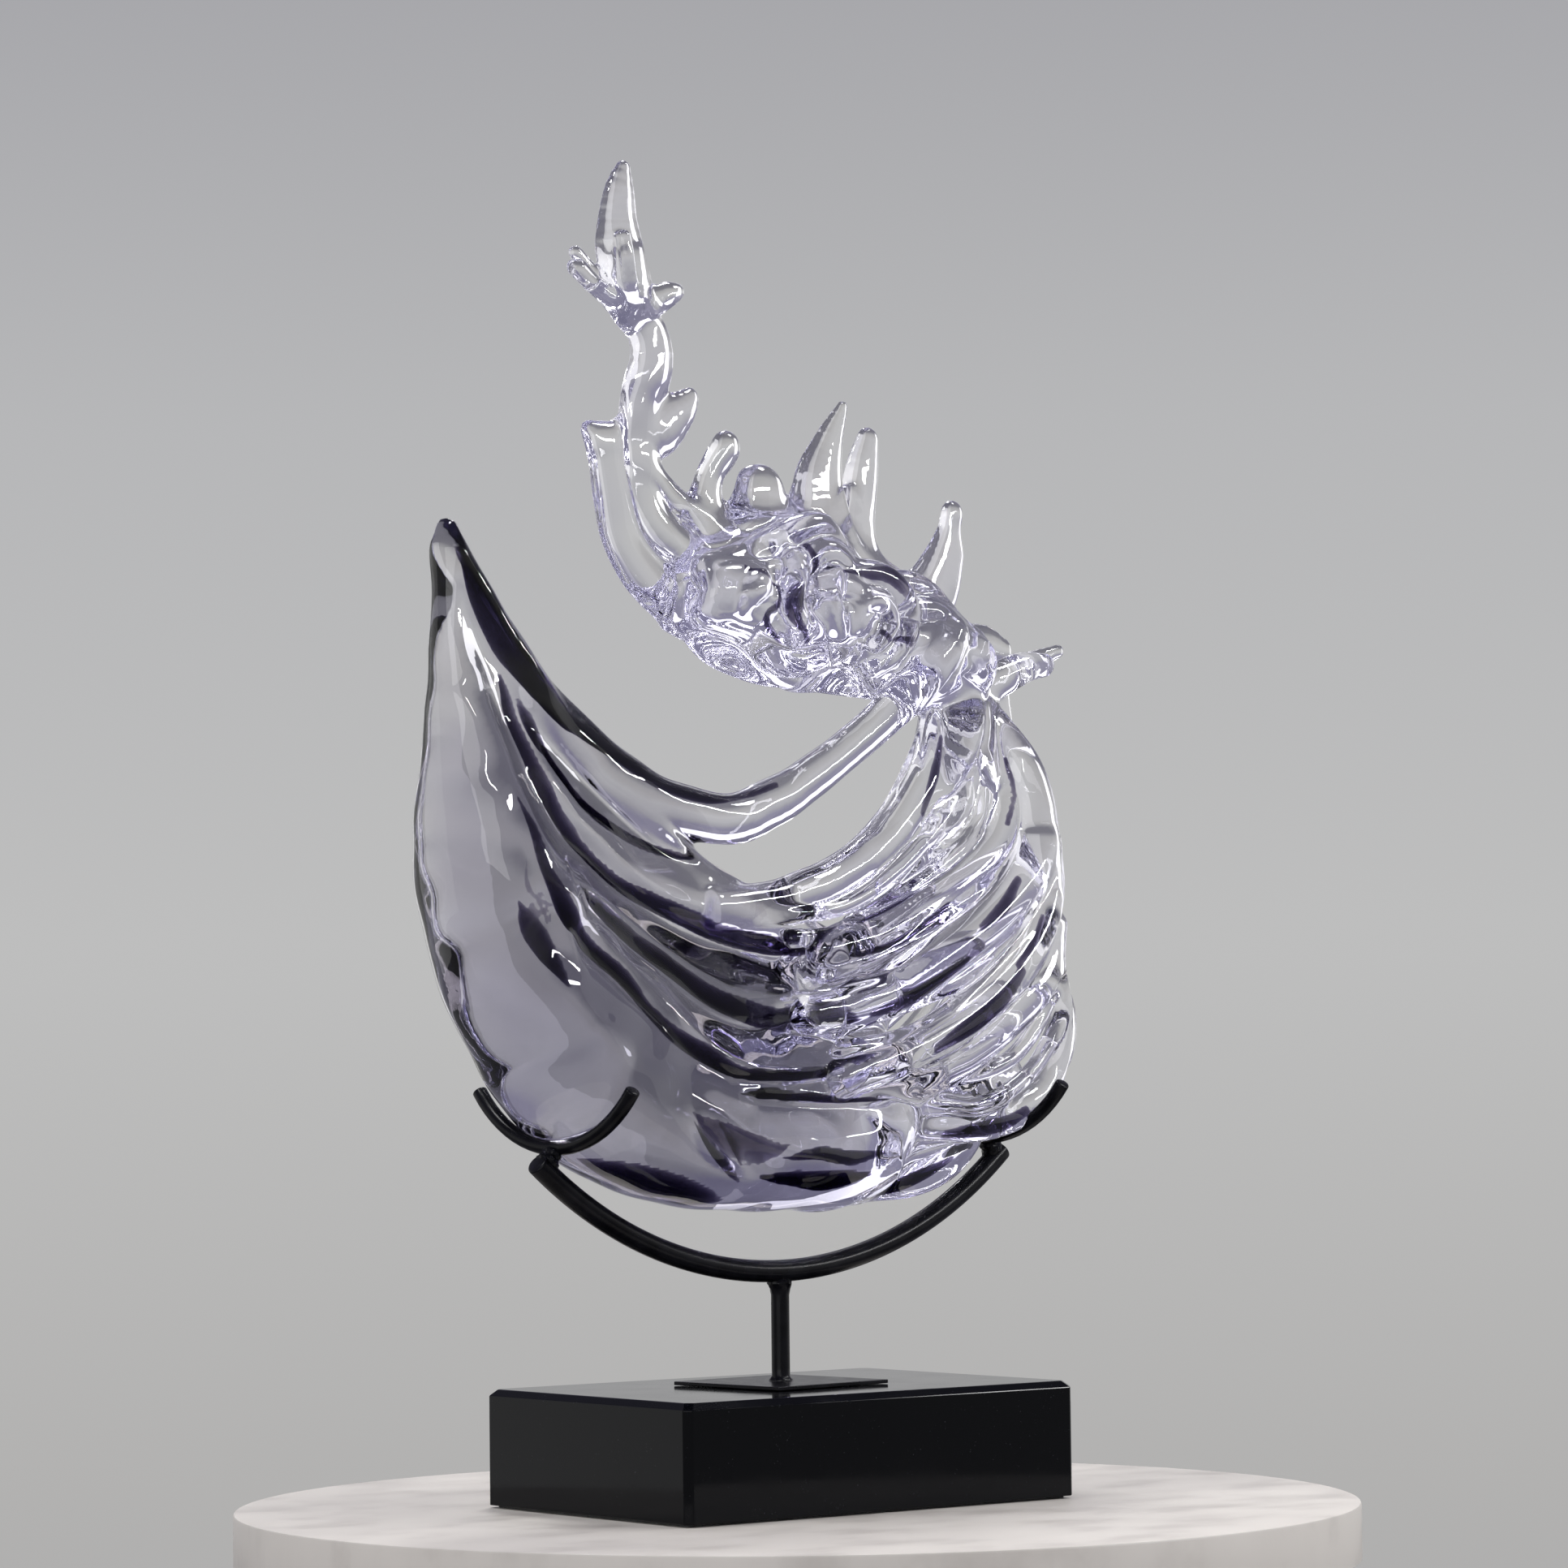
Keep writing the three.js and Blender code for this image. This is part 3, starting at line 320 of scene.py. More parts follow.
def near_line(line, x, z):
    """Distance above a line at each x and height, its width and depth there, and a taper at its ends."""
    path = smooth_path(line, LINE_SPACING)
    lengths = np.concatenate([[0], np.cumsum(np.hypot(*np.diff(path[:, :2], axis=0).T))])
    best = np.full(np.broadcast_shapes(x.shape, z.shape), HUGE, np.float32)
    side, along, width, depth = (np.zeros_like(best) for _ in range(4))
    for start, stop, run0, run1 in zip(path, path[1:], lengths, lengths[1:]):
        dx, dz = stop[:2] - start[:2]
        t = np.clip(((x - start[0]) * dx + (z - start[1]) * dz) / (dx * dx + dz * dz), 0, 1)
        gap = np.hypot(x - start[0] - t * dx, z - start[1] - t * dz)
        nearer = gap < best
        best = np.where(nearer, gap, best)
        side = np.where(nearer, (z - start[1]) * dx - (x - start[0]) * dz, side)
        along = np.where(nearer, run0 + t * (run1 - run0), along)
        width = np.where(nearer, start[2] + t * (stop[2] - start[2]), width)
        depth = np.where(nearer, start[3] + t * (stop[3] - start[3]), depth)
    ends = smoothstep(0, FOLD_END, along) * smoothstep(lengths[-1], lengths[-1] - FOLD_END, along)
    return np.where(side > 0, best, -best), width, depth, ends


def fold_heights(folds, x, z):
    """How far the folds raise or lower the surface."""
    total = np.zeros(np.broadcast_shapes(x.shape, z.shape), np.float32)
    for slope, line in folds:
        above, width, depth, ends = near_line(line, x, z)
        over = np.abs(above) - width / 2
        fall = smoothstep(-FOLD_FALL, FOLD_FALL, above / np.maximum(width, 1)) - 1 + FOLD_RAISED
        crown = FOLD_RAISED * smoothstep(FOLD_FADE, 0, over)
        foot = -(1 - FOLD_RAISED) * smoothstep(slope, 0, over)
        total += depth * ends * np.where(over < 0, fall, np.where(above > 0, crown, foot))
    return total


def painted_band_depths(x, z):
    """How thick the painted dark reflection bands are at each x and height."""
    total = np.zeros(np.broadcast_shapes(x.shape, z.shape), np.float32)
    for line in PAINTED_DARK_BANDS:
        above, width, depth, ends = near_line(line, x, z)
        half = PAINTED_BAND_WIDEN * width * np.sqrt(ends) / 2
        share = 1 - (above / np.maximum(half, PAINTED_BAND_LEAST)) ** 2
        total = np.maximum(total, depth * np.sqrt(np.clip(share, 0, None)))
    return total


def outline_depth(outline, x, z):
    """Distance inside a closed outline, below zero outside it."""
    path = smooth_path(outline[-1:] + outline + outline[:2], LINE_SPACING)
    shape = np.broadcast_shapes(x.shape, z.shape)
    best = np.full(shape, HUGE, np.float32)
    inside = np.zeros(shape, bool)
    for (x0, z0), (x1, z1) in zip(path, path[1:]):
        dx, dz = x1 - x0, z1 - z0
        t = np.clip(((x - x0) * dx + (z - z0) * dz) / max(dx * dx + dz * dz, TINY), 0, 1)
        best = np.minimum(best, np.hypot(x - x0 - t * dx, z - z0 - t * dz))
    loop = smooth_path(outline + outline[:1], LINE_SPACING)
    for (x0, z0), (x1, z1) in zip(loop, loop[1:]):
        crosses = (z0 > z) != (z1 > z)
        inside ^= crosses & (x < x0 + (z - z0) * (x1 - x0) / (z1 - z0 if z1 != z0 else TINY))
    return np.where(inside, best, -best)


def add_blade():
    """Fills in the blade, and returns where its painted dark reflection bands lie and their layer."""
    cut, x, y, z = window(BLADE_LOW, BLADE_HIGH)
    flat_x, flat_z = x[:, 0, :], z[0]
    depth = outline_depth(BLADE_OUTLINE, flat_x, flat_z)
    low = spline(*zip(*UNDERSIDE))(flat_x)
    high = spline(*zip(*TOP_LINE))(flat_x)
    up = (flat_z - low) / (high - low)
    taper = smoothstep(*BLADE_THINS, up)
    upper = smoothstep(*RIM_NARROWS, up)
    keep = smoothstep(0, FOLD_EDGE, depth)

    def side_field(away, top_half, top_rim, folds):
        half = top_half + (BLADE_HALF - top_half) * taper
        rim = BLADE_RIM + (top_rim - BLADE_RIM) * upper
        edge = np.clip((rim - depth) / rim, 0, None)
        relief = fold_heights(folds, flat_x, flat_z)
        thick = np.maximum(half + keep * relief, BLADE_LEAST)
        reach = np.sqrt(edge[:, None, :] ** 2 + (away / thick[:, None, :]) ** 2)
        return (reach - 1) * np.minimum(rim, thick)[:, None, :]

    front = side_field(-y, BLADE_TOP.front_half, BLADE_TOP.front_rim, FRONT_FOLDS)
    back = side_field(y, BLADE_TOP.back_half, BLADE_TOP.back_rim, BACK_FOLDS)
    field[cut] = np.minimum(field[cut], np.where(y < 0, front, back))
    # Layer of the painted dark reflections: a thin sheet just under the front surface, as thick as the
    # bands
    under = front + PAINTED_BAND_INSET
    layer = np.maximum(under, -under - painted_band_depths(flat_x, flat_z)[:, None, :])
    return cut, np.maximum(layer, y - PAINTED_BAND_BACK)


# Ropes of the splash and the ribbons over the mouth, from the top down, as [x, y, height, radius]
FRONT_ROPES = [
    [(-60, -14, 122, 11), (-30, -14, 124, 11), (14, -14, 133, 12), (53, -12, 149, 12), (84, -10, 172, 12),
     (108, -8, 197, 12), (119, -6, 223, 11), (125, -4, 244, 10)],
    [(10, -28, 99, 11), (45, -30, 107, 12), (85, -29, 124, 12), (120, -27, 142, 12), (148, -24, 162, 11),
     (163, -17, 186, 10), (162, -10, 210, 9), (150, -5, 236, 8)],
    [(-14, -40, 64, 11), (35, -43, 74, 12), (79, -43, 93, 13), (124, -42, 118, 13), (158, -40, 147, 13),
     (172, -32, 175, 12), (172, -22, 203, 11), (160, -11, 227, 10)],
    [(6, -42, 30, 11), (61, -46, 47, 12), (109, -46, 70, 13), (148, -44, 100, 13), (168, -40, 129, 12),
     (176, -34, 160, 10)],
    [(20, -36, 20, 10), (88, -43, 39, 12), (130, -44, 61, 12), (164, -40, 86, 12), (178, -37, 114, 9)],
    [(44, -26, 2, 10), (89, -30, 4, 11), (136, -28, 7, 12), (172, -27, 18, 11), (188, -27, 39, 9),
     (186, -34, 66, 8), (174, -40, 90, 8)],
]
BACK_ROPES = [
    [(110, 22, 124, 8), (128, 10, 156, 8), (141, 6, 184, 8), (143, 6, 214, 8), (146, 4, 244, 8)],
    [(10, 36, 84, 11), (60, 42, 91, 12), (110, 40, 111, 13), (150, 36, 141, 12), (168, 26, 175, 12),
     (168, 15, 205, 11), (157, 8, 234, 9)],
    [(30, 36, 37, 11), (85, 45, 49, 12), (130, 44, 75, 13), (162, 38, 107, 12), (172, 30, 141, 11),
     (170, 27, 170, 9)],
    [(46, 24, 5, 10), (100, 29, 2, 10), (140, 29, 5, 11), (168, 27, 16, 10), (185, 25, 40, 9),
     (186, 27, 72, 9), (168, 36, 104, 9)],
]
ROPE_BLEND = 3
CREST_BLEND = 3

# Strands of resin: blend, thickness across as a share of the width, and points of [x, y, height, radius]
STRANDS = [
    # Rim of the blade
    (6, 1, [(-175, -1, 240, 4), (-156, -2, 221, 9), (-120, -4, 191, 14), (-84, -6, 176, 14),
        (-42, -8, 170, 14), (-8, -10, 181, 13), (32, -14, 204, 11), (65, -18, 227, 11),
        (88, -22, 248, 13), (102, -25, 264, 13), (110, -26, 276, 11)]),
    # Neck between the crest and the ribbons, and the thin sheets below it
    (10, 0.9, [(118, -6, 262, 16), (130, -8, 240, 19), (128, -10, 220, 17), (116, -12, 198, 13)]),
    (8, 0.9, [(146, -2, 250, 15), (154, -6, 226, 15), (162, -10, 200, 12)]),
    (5, 0.22, [(126, -12, 216, 22), (122, -16, 190, 24), (118, -20, 164, 22), (112, -26, 138, 16)]),
    (5, 0.2, [(78, -4, 146, 16), (96, -4, 168, 20), (110, -4, 194, 18), (118, -4, 214, 14)]),
    (5, 0.25, [(150, -8, 222, 14), (152, -14, 196, 18), (148, -20, 170, 16)]),
    (5, 0.3, [(174, 0, 252, 9), (180, 2, 228, 9), (184, 4, 206, 6)]),
    # Crest
    (14, 0.7, [(130, 0, 248, 14), (83, 4, 254, 15), (35, 6, 256, 14), (-8, 6, 258, 13), (-37, 4, 265, 13),
        (-62, 2, 278, 10)]),
    (14, 0.7, [(136, 0, 264, 14), (115, 4, 285, 14), (86, 6, 300, 14), (48, 6, 308, 15), (11, 6, 312, 15),
        (-27, 4, 312, 13), (-56, 2, 306, 9)]),
    (14, 0.7, [(112, -14, 264, 13), (64, -16, 274, 15), (30, -16, 278, 15), (-1, -16, 279, 14),
        (-29, -13, 284, 13), (-56, -8, 288, 10)]),
    (14, 0.7, [(138, 13, 258, 12), (97, 16, 271, 14), (53, 16, 278, 15), (8, 14, 283, 14),
        (-32, 10, 288, 13), (-58, 6, 294, 9)]),
    (10, 0.8, [(98, 4, 302, 10), (66, 4, 314, 12), (28, 2, 323, 13), (-8, 2, 327, 12), (-38, 3, 322, 9)]),
    # Swirl on the front of the crest
    (4, 1, [(22, -20, 300, 7), (40, -25, 306, 8), (62, -27, 302, 8), (76, -27, 286, 8), (70, -25, 266, 7),
        (52, -22, 254, 6)]),
    (4, 1, [(34, -26, 276, 5), (40, -30, 290, 6), (54, -31, 290, 6), (60, -30, 278, 6),
        (52, -28, 268, 5)]),
    # Body of the splash behind its ropes
    (14, 0.8, [(30, -20, 10, 30), (76, -20, 14, 25), (120, -18, 18, 18), (160, -16, 30, 12)]),
    (14, 0.8, [(30, 20, 10, 30), (76, 20, 14, 25), (120, 18, 18, 18), (160, 18, 30, 12)]),
    (14, 0.9, [(30, 0, -10, 26), (80, 0, -8, 19), (128, 0, -2, 13)]),
    (14, 0.9, [(30, -6, 74, 30), (78, -6, 88, 22), (118, -6, 110, 15)]),
    # Loop and lobes at the right foot
    (4, 1, [(160, -32, 82, 6), (187, -30, 80, 6), (199, -27, 62, 6), (197, -25, 40, 6),
        (180, -24, 22, 6)]),
    (12, 1, [(58, -6, -17, 13), (96, -6, -11, 12), (128, -4, -4, 11), (146, -2, 10, 9)]),
    (12, 1, [(60, 4, -27, 10), (98, 2, -27, 10), (126, 1, -20, 9), (140, 0, -6, 9)]),
    # Leaf and stem of the spout
    (6, 0.4, [(-46, 2, 276, 10), (-84, 0, 290, 13), (-107, 0, 313, 13), (-117, 0, 342, 13),
        (-121, 0, 368, 12)]),
    (6, 0.18, [(-110, 0, 362, 12), (-106, 0, 340, 14), (-94, 0, 318, 15), (-76, 1, 302, 13),
        (-50, 2, 292, 10)]),
    (5, 0.6, [(-126, 0, 366, 6), (-132, 0, 374, 5)]),
    (5, 0.6, [(-116, 0, 368, 6), (-112, 0, 377, 5)]),
    (8, 0.6, [(-44, 3, 307, 9), (-80, 0, 322, 12), (-94, 0, 343, 11), (-99, 0, 369, 11),
        (-95, 0, 395, 13), (-87, 0, 412, 14), (-89, 0, 427, 13), (-98, 0, 440, 12)]),
    (6, 0.7, [(-102, 1, 441, 10), (-104, 1, 453, 14), (-108, 1, 471, 15), (-110, 1, 488, 12),
        (-108, 1, 504, 9), (-105, 1, 516, 5)]),
    (6, 0.9, [(-98, 4, 443, 8), (-94, 6, 455, 10), (-96, 6, 468, 8)]),
    (5, 1, [(-104, -1, 441, 6), (-124, -2, 448, 5), (-143, -4, 459, 5)]),
    (5, 1, [(-112, 3, 446, 5), (-126, 5, 461, 4), (-135, 6, 469, 4)]),
    (5, 1, [(-106, -5, 445, 5), (-114, -12, 462, 4), (-117, -12, 477, 4)]),
    (5, 0.9, [(-100, -3, 440, 7), (-92, -7, 444, 8), (-84, -10, 449, 7), (-79, -11, 451, 5)]),
    (7, 0.4, [(-98, 0, 364, 8), (-80, 0, 378, 14), (-67, 0, 389, 11), (-60, 0, 396, 7)]),
    (6, 1, [(-96, 0, 362, 6), (-73, 0, 343, 6), (-54, 1, 331, 6), (-40, 3, 322, 7)]),
    # Fingers of the crest
    (12, 0.6, [(-36, 4, 310, 13), (-46, 2, 338, 11), (-45, 0, 356, 9), (-33, 0, 372, 9)]),
    (12, 0.35, [(-12, -2, 312, 22), (-13, -4, 334, 21), (-13, -5, 346, 18)]),
    (14, 0.4, [(44, 0, 306, 24), (34, -4, 333, 22), (31, -5, 354, 18), (37, -6, 376, 11),
        (49, -6, 399, 4)]),
    (10, 0.25, [(56, 2, 306, 20), (57, 2, 330, 18), (58, 2, 346, 12)]),
    (12, 0.45, [(66, 6, 306, 18), (72, 8, 340, 14), (77, 8, 366, 12), (82, 8, 384, 8)]),
    (10, 0.25, [(112, 3, 284, 18), (126, 1, 304, 18), (136, 0, 322, 12)]),
    (12, 0.5, [(114, 3, 284, 15), (128, 1, 308, 12), (136, 0, 331, 8), (140, 0, 346, 8)]),
    (8, 0.4, [(138, 8, 264, 12), (172, 13, 274, 13), (193, 14, 272, 8)]),
    (8, 0.9, [(138, -3, 247, 11), (166, -6, 253, 11), (188, -8, 261, 9), (204, -8, 263, 7)]),
    (6, 0.9, [(182, -4, 259, 6), (209, 6, 266, 6), (231, 6, 273, 4)]),
]
STRAND_SPACING = 5.0
STRAND_MARGIN = 8
STRAND_REACH = 4


def add_strand(blend, flat, points, into=field):
    """Adds a strand along rows of [x, y, height, radius] to a field."""
    path = smooth_path(points, STRAND_SPACING)
    margin = path[:, 3].max() + 2 * blend + STRAND_MARGIN
    cut, *_ = window((path[:, :3] - margin).min(0), (path[:, :3] + margin).max(0))
    strand = np.full(into[cut].shape, FAR, np.float32)
    origin = [s.start for s in cut]
    for start, stop in zip(path, path[1:]):
        reach = max(start[3], stop[3]) + 2 * blend + STRAND_REACH
        low, high = np.minimum(start, stop)[:3] - reach, np.maximum(start, stop)[:3] + reach
        inner, px, py, pz = window(low, high)
        along = (stop - start).astype(np.float32)
        from_start = px - np.float32(start[0]), py - np.float32(start[1]), pz - np.float32(start[2])
        share = sum(a * b for a, b in zip(from_start, along)) / float(along[:3] @ along[:3])
        share = np.clip(share, 0, 1)
        off = [a - share * b for a, b in zip(from_start, along)]
        radius = np.float32(start[3]) + share * along[3]
        gap = np.sqrt(off[0] ** 2 + (off[1] / flat) ** 2 + off[2] ** 2) - radius
        local = tuple(slice(s.start - o, s.stop - o) for s, o in zip(inner, origin))
        strand[local] = np.minimum(strand[local], gap)
    into[cut] = soft_min(into[cut], strand, blend)


# Threads of the splash, the crest's edges as [x, top, bottom], its ropes and folds, the blade's ripples
THREAD = SimpleNamespace(
    shares=(0.33, 0.67), along=(0.02, 0.97), radius=5.0, sway=5.0, lean=(0.6, 0.8), turns=1.6,
    phases=(2.4, 5), out=6.0, points=9, spacing=2.0)
CREST_EDGES = [(-60, 306, 276), (-20, 326, 260), (20, 330, 252), (60, 318, 248), (100, 298, 246),
               (140, 276, 244)]
CREST_ROPES = SimpleNamespace(
    count=5, radius=9.0, sway=9.0, turns=2.2, phase=0.5, edge=10.0, bulge=12.0, out=0.4, points=16)
CREST_FOLDS = SimpleNamespace(
    starts=(-46, -18, 8), radius=8.0, sway=8.0, turns=1.1, phase=0.4, lean=0.4, edge=12.0, bulge=17.0,
    points=10)
BLADE_RIPPLE = SimpleNamespace(height=0.5, length=46.0, lean=0.4, bend=1.7, rows=1.3, end=60)


def thread(upper, lower, share, phase, side):
    """A thin strand that winds between two ropes."""
    rows = []
    lean_x, lean_z = THREAD.lean
    for along in np.linspace(*THREAD.along, THREAD.points):
        place = []
        for rope in (upper, lower):
            path = smooth_path(rope, THREAD.spacing)
            place.append(path[round(along * (len(path) - 1)), :3])
        middle = place[0] + share * (place[1] - place[0])
        swing = THREAD.sway * math.sin(2 * math.pi * THREAD.turns * along + phase)
        out = side * THREAD.out * math.sin(math.pi * along)
        rows.append((*(middle + (lean_x * swing, out, lean_z * swing)), THREAD.radius))
    return rows


def add_splash():
    """Ropes of the splash, in front and behind, with threads between them."""
    per_rope, per_share = THREAD.phases
    for ropes, side in ((FRONT_ROPES, -1), (BACK_ROPES, 1)):
        for rope in ropes:
            add_strand(ROPE_BLEND, 1, rope)
        for index, (upper, lower) in enumerate(zip(ropes, ropes[1:])):
            for share in THREAD.shares:
                phase = per_rope * index + per_share * share
                add_strand(ROPE_BLEND, 1, thread(upper, lower, share, phase, side))


def crest_edges(place):
    places, tops, bottoms = zip(*CREST_EDGES)
    return np.interp(place, places, tops), np.interp(place, places, bottoms)


def add_crest_ropes():
    """Winding ropes along the front and the back of the crest."""
    first, last = CREST_EDGES[0][0], CREST_EDGES[-1][0]
    for side in (-1, 1):
        for index in range(CREST_ROPES.count):
            down = (index + 0.5) / CREST_ROPES.count
            across = CREST_ROPES.edge + CREST_ROPES.bulge * math.sin(math.pi * down)
            rows = []
            for along in np.linspace(0, 1, CREST_ROPES.points):
                place = last + along * (first - last)
                top, bottom = crest_edges(place)
                turn = 2 * math.pi * CREST_ROPES.turns * along + CREST_ROPES.phase * index
                swing = CREST_ROPES.sway * math.sin(turn + side) * math.sin(math.pi * along)
                height = top + down * (bottom - top) + swing
                outward = across + CREST_ROPES.out * swing
                rows.append((place, side * outward, height, CREST_ROPES.radius))
            add_strand(CREST_BLEND, 1, rows)


def add_crest_folds():
    """Folds that wind down the front of the crest at its left."""
    for index, first in enumerate(CREST_FOLDS.starts):
        top, bottom = np.add(crest_edges(first), (-CREST_FOLDS.radius, CREST_FOLDS.radius))
        rows = []
        for down in np.linspace(0, 1, CREST_FOLDS.points):
            height = top + down * (bottom - top)
            turn = 2 * math.pi * CREST_FOLDS.turns * down + CREST_FOLDS.phase * index
            across = CREST_FOLDS.edge + CREST_FOLDS.bulge * math.sin(math.pi * down)
            place = first + CREST_FOLDS.sway * math.sin(turn) + CREST_FOLDS.lean * (top - height)
            rows.append((place, -across, height, CREST_FOLDS.radius))
        add_strand(CREST_BLEND, 1, rows)


def ripple_blade():
    """Faint ripples on the blade, where the resin set unevenly."""
    x, z = (grid_axes[axis].astype(np.float32) for axis in (0, 2))
    x, z = x[:, None, None], z[None, None, :]
    waves = 2 * np.pi / BLADE_RIPPLE.length
    leaning = waves * (x + BLADE_RIPPLE.lean * z) + np.sin(waves * z / BLADE_RIPPLE.bend)
    ripple = np.sin(leaning) * np.sin(waves * z / BLADE_RIPPLE.rows)
    field[:] -= BLADE_RIPPLE.height * smoothstep(BLADE_RIPPLE.end, 0, x) * ripple


# Box round a cradle, from the middle of its span
SEAT_LOW = np.array([-9.0, -70.0, -12.0])
SEAT_HIGH = np.array([9.0, 70.0, 40.0])


def carve_seats():
    """Clears the two cradles' bars out of the resin."""
    middle = CRADLE_RADIUS - CRADLE_BAR / 2
    for x_bar in (-CRADLE_HALF_SPAN, CRADLE_HALF_SPAN):
        cut, x, y, z = window((x_bar, 0, 0) + SEAT_LOW, (x_bar, 0, 0) + SEAT_HIGH)
        bar = np.hypot(np.hypot(y, z - middle) - CRADLE_RADIUS, x - x_bar) - CRADLE_BAR / 2 - SEAT_GAP
        field[cut] = np.maximum(field[cut], -bar)


# Smoke core: how far it lies under the surface and where it thins out, and the least size of a loose bit
SMOKE = SimpleNamespace(inset=1.3, clear=34.0, along=(-70, 90), over_top=(6, 30))
LEAST_POINTS = 400


def smoke_field():
    """The blade's tinted core, which thins out to the right and above the top of the blade."""
    x, z = grid_axes[0][:, None], grid_axes[2][None, :]
    over_top = z - spline(*zip(*TOP_LINE))(x)
    fade = smoothstep(*SMOKE.along, x) + smoothstep(*SMOKE.over_top, over_top)
    return field + (SMOKE.inset + SMOKE.clear * fade).astype(np.float32)[:, None, :]


def drop_specks(shell):
    """Takes out loose bits of a mesh and small bubbles in it."""
    unseen = set(shell.verts)
    loose = []
    while unseen:
        island = [unseen.pop()]
        for vertex in island:
            for edge in vertex.link_edges:
                other = edge.other_vert(vertex)
                if other in unseen:
                    unseen.remove(other)
                    island.append(other)
        if len(island) < LEAST_POINTS:
            loose += island
    bmesh.ops.delete(shell, geom=loose, context="VERTS")


def surface(name, values, material):
    """The zero surface of a field over the grid, as a smooth mesh in the part's frame."""
    grid = openvdb.FloatGrid(background=FAR)
    grid.copyFromArray(np.ascontiguousarray(values))
    points, triangles, quads = grid.convertToPolygons(0.0, 0.0)
    points = points * GRID_STEP + GRID_LOW
    piece = mesh_object(name, points.tolist(), quads.tolist() + triangles.tolist(), material)
    edit_mesh(piece.data, drop_specks)
    apply_modifier(piece, "SMOOTH", factor=0.5, iterations=2)
    piece.data.transform(WAVE_FRAME)
    return piece


# Material building blocks
def noise(material, scale, detail=2.0, stretch=None):
    """A noise pattern fixed to the piece, scale per metre."""
    place = add_node(material, "ShaderNodeTexCoord").outputs["Object"]
    if stretch:
        mapping = add_node(material, "ShaderNodeMapping", Scale=stretch)
        link(place, mapping.inputs["Vector"])
        place = mapping.outputs["Vector"]
    node = add_node(material, "ShaderNodeTexNoise", Scale=scale, Detail=detail)
    link(place, node.inputs["Vector"])
    return node.outputs["Fac"]


def specks(material, scale, size):
    """Small round specks, one at the middle of each cell."""
    place = add_node(material, "ShaderNodeTexCoord").outputs["Object"]
    cells = add_node(material, "ShaderNodeTexVoronoi", Scale=scale)
    link(place, cells.inputs["Vector"])
    return spread(material, cells.outputs["Distance"], (0.0, size), (1.0, 0.0))


def spread(owner, value, source, target):
    node = add_node(owner, "ShaderNodeMapRange")
    for socket, number in zip(("From Min", "From Max", "To Min", "To Max"), (*source, *target)):
        node.inputs[socket].default_value = number
    link(value, node.inputs["Value"])
    return node.outputs["Result"]


def ramp(owner, value, *stops):
    """Colours along a value, from stops of (place, colour)."""
    node = add_node(owner, "ShaderNodeValToRGB")
    elements = node.color_ramp.elements
    while len(elements) < len(stops):
        elements.new(0.5)
    for element, (place, colour) in zip(elements, stops):
        element.position = place
        element.color = (*colour, 1)
    link(value, node.inputs["Fac"])
    return node.outputs["Color"]


def colour_by(material, shader, value, *stops):
    link(ramp(material, value, *stops), shader.inputs["Base Color"])


def rough_by(material, shader, value, low, high):
    """Roughness from low to high over most of a pattern."""
    link(spread(material, value, (0.3, 0.7), (low, high)), shader.inputs["Roughness"])


def bump(material, shader, height, strength, depth):
    node = add_node(material, "ShaderNodeBump", Strength=strength, Distance=depth)
    link(height, node.inputs["Height"])
    link(node.outputs["Normal"], shader.inputs["Normal"])


# Materials
def resin_material():
    glass = {"Roughness": 0.0, "IOR": 1.42, "Transmission Weight": 1.0}
    material, shader, output = new_material("clear_resin", glass)
    colour_by(material, shader, noise(material, 14), (0.35, (0.97, 0.96, 1.0)), (0.6, (1.0, 1.0, 1.0)))
    bump(material, shader, noise(material, 55, detail=3), 0.08, 0.001)
    inside = add_node(material, "ShaderNodeVolumeAbsorption", Color=(0.6, 0.57, 0.9, 1), Density=3.0)
    link(inside.outputs["Volume"], output.inputs["Volume"])
    return material


def tinted_layer(name, colour, density, cloud):
    """A tint within the resin: a clouded clear skin round an absorbing volume."""
    material, shader, output = new_material(name, {})
    material.node_tree.nodes.remove(shader)
    clear = add_node(material, "ShaderNodeBsdfTransparent")
    haze = ramp(material, noise(material, 22, detail=4), (0.35, cloud), (0.65, (1.0, 1.0, 1.0)))
    link(haze, clear.inputs["Color"])
    link(clear.outputs["BSDF"], output.inputs["Surface"])
    inside = add_node(material, "ShaderNodeVolumeAbsorption", Color=(*colour, 1), Density=density)
    link(inside.outputs["Volume"], output.inputs["Volume"])
    return material


def steel_material():
    """Satin black paint over steel, with the orange peel that a spray gun leaves."""
    material, shader, _ = new_material("black_steel", {"Specular IOR Level": 0.1})
    colour_by(material, shader, noise(material, 70), (0.35, (0.002, 0.002, 0.003)),
              (0.7, (0.006, 0.006, 0.008)))
    rough_by(material, shader, noise(material, 160), 0.22, 0.27)
    bump(material, shader, noise(material, 260), 0.004, 0.0002)
    return material


def stone_material():
    """Polished black stone with fine grey flecks."""
    material, shader, _ = new_material("black_stone", {"Specular IOR Level": 0.1})
    flecks = specks(material, 420, 0.16)
    patches = spread(material, noise(material, 90, detail=5), (0.5, 0.7), (0.0, 1.0))
    both = add_node(material, "ShaderNodeMath", operation="MULTIPLY")
    link(flecks, both.inputs[0])
    link(patches, both.inputs[1])
    colour_by(material, shader, both.outputs["Value"], (0.0, (0.0015, 0.0017, 0.0025)),
              (1.0, (0.05, 0.052, 0.06)))
    rough_by(material, shader, noise(material, 30), 0.05, 0.11)
    bump(material, shader, noise(material, 9), 0.03, 0.001)
    return material


def felt_material():
    material, shader, _ = new_material("felt", {"Sheen Weight": 0.4, "Specular IOR Level": 0.1})
    fibres = noise(material, 900, detail=6, stretch=(1, 1, 3))
    colour_by(material, shader, fibres, (0.3, (0.008, 0.008, 0.009)), (0.7, (0.035, 0.035, 0.038)))
    rough_by(material, shader, fibres, 0.85, 1.0)
    bump(material, shader, fibres, 0.8, 0.001)
    return material


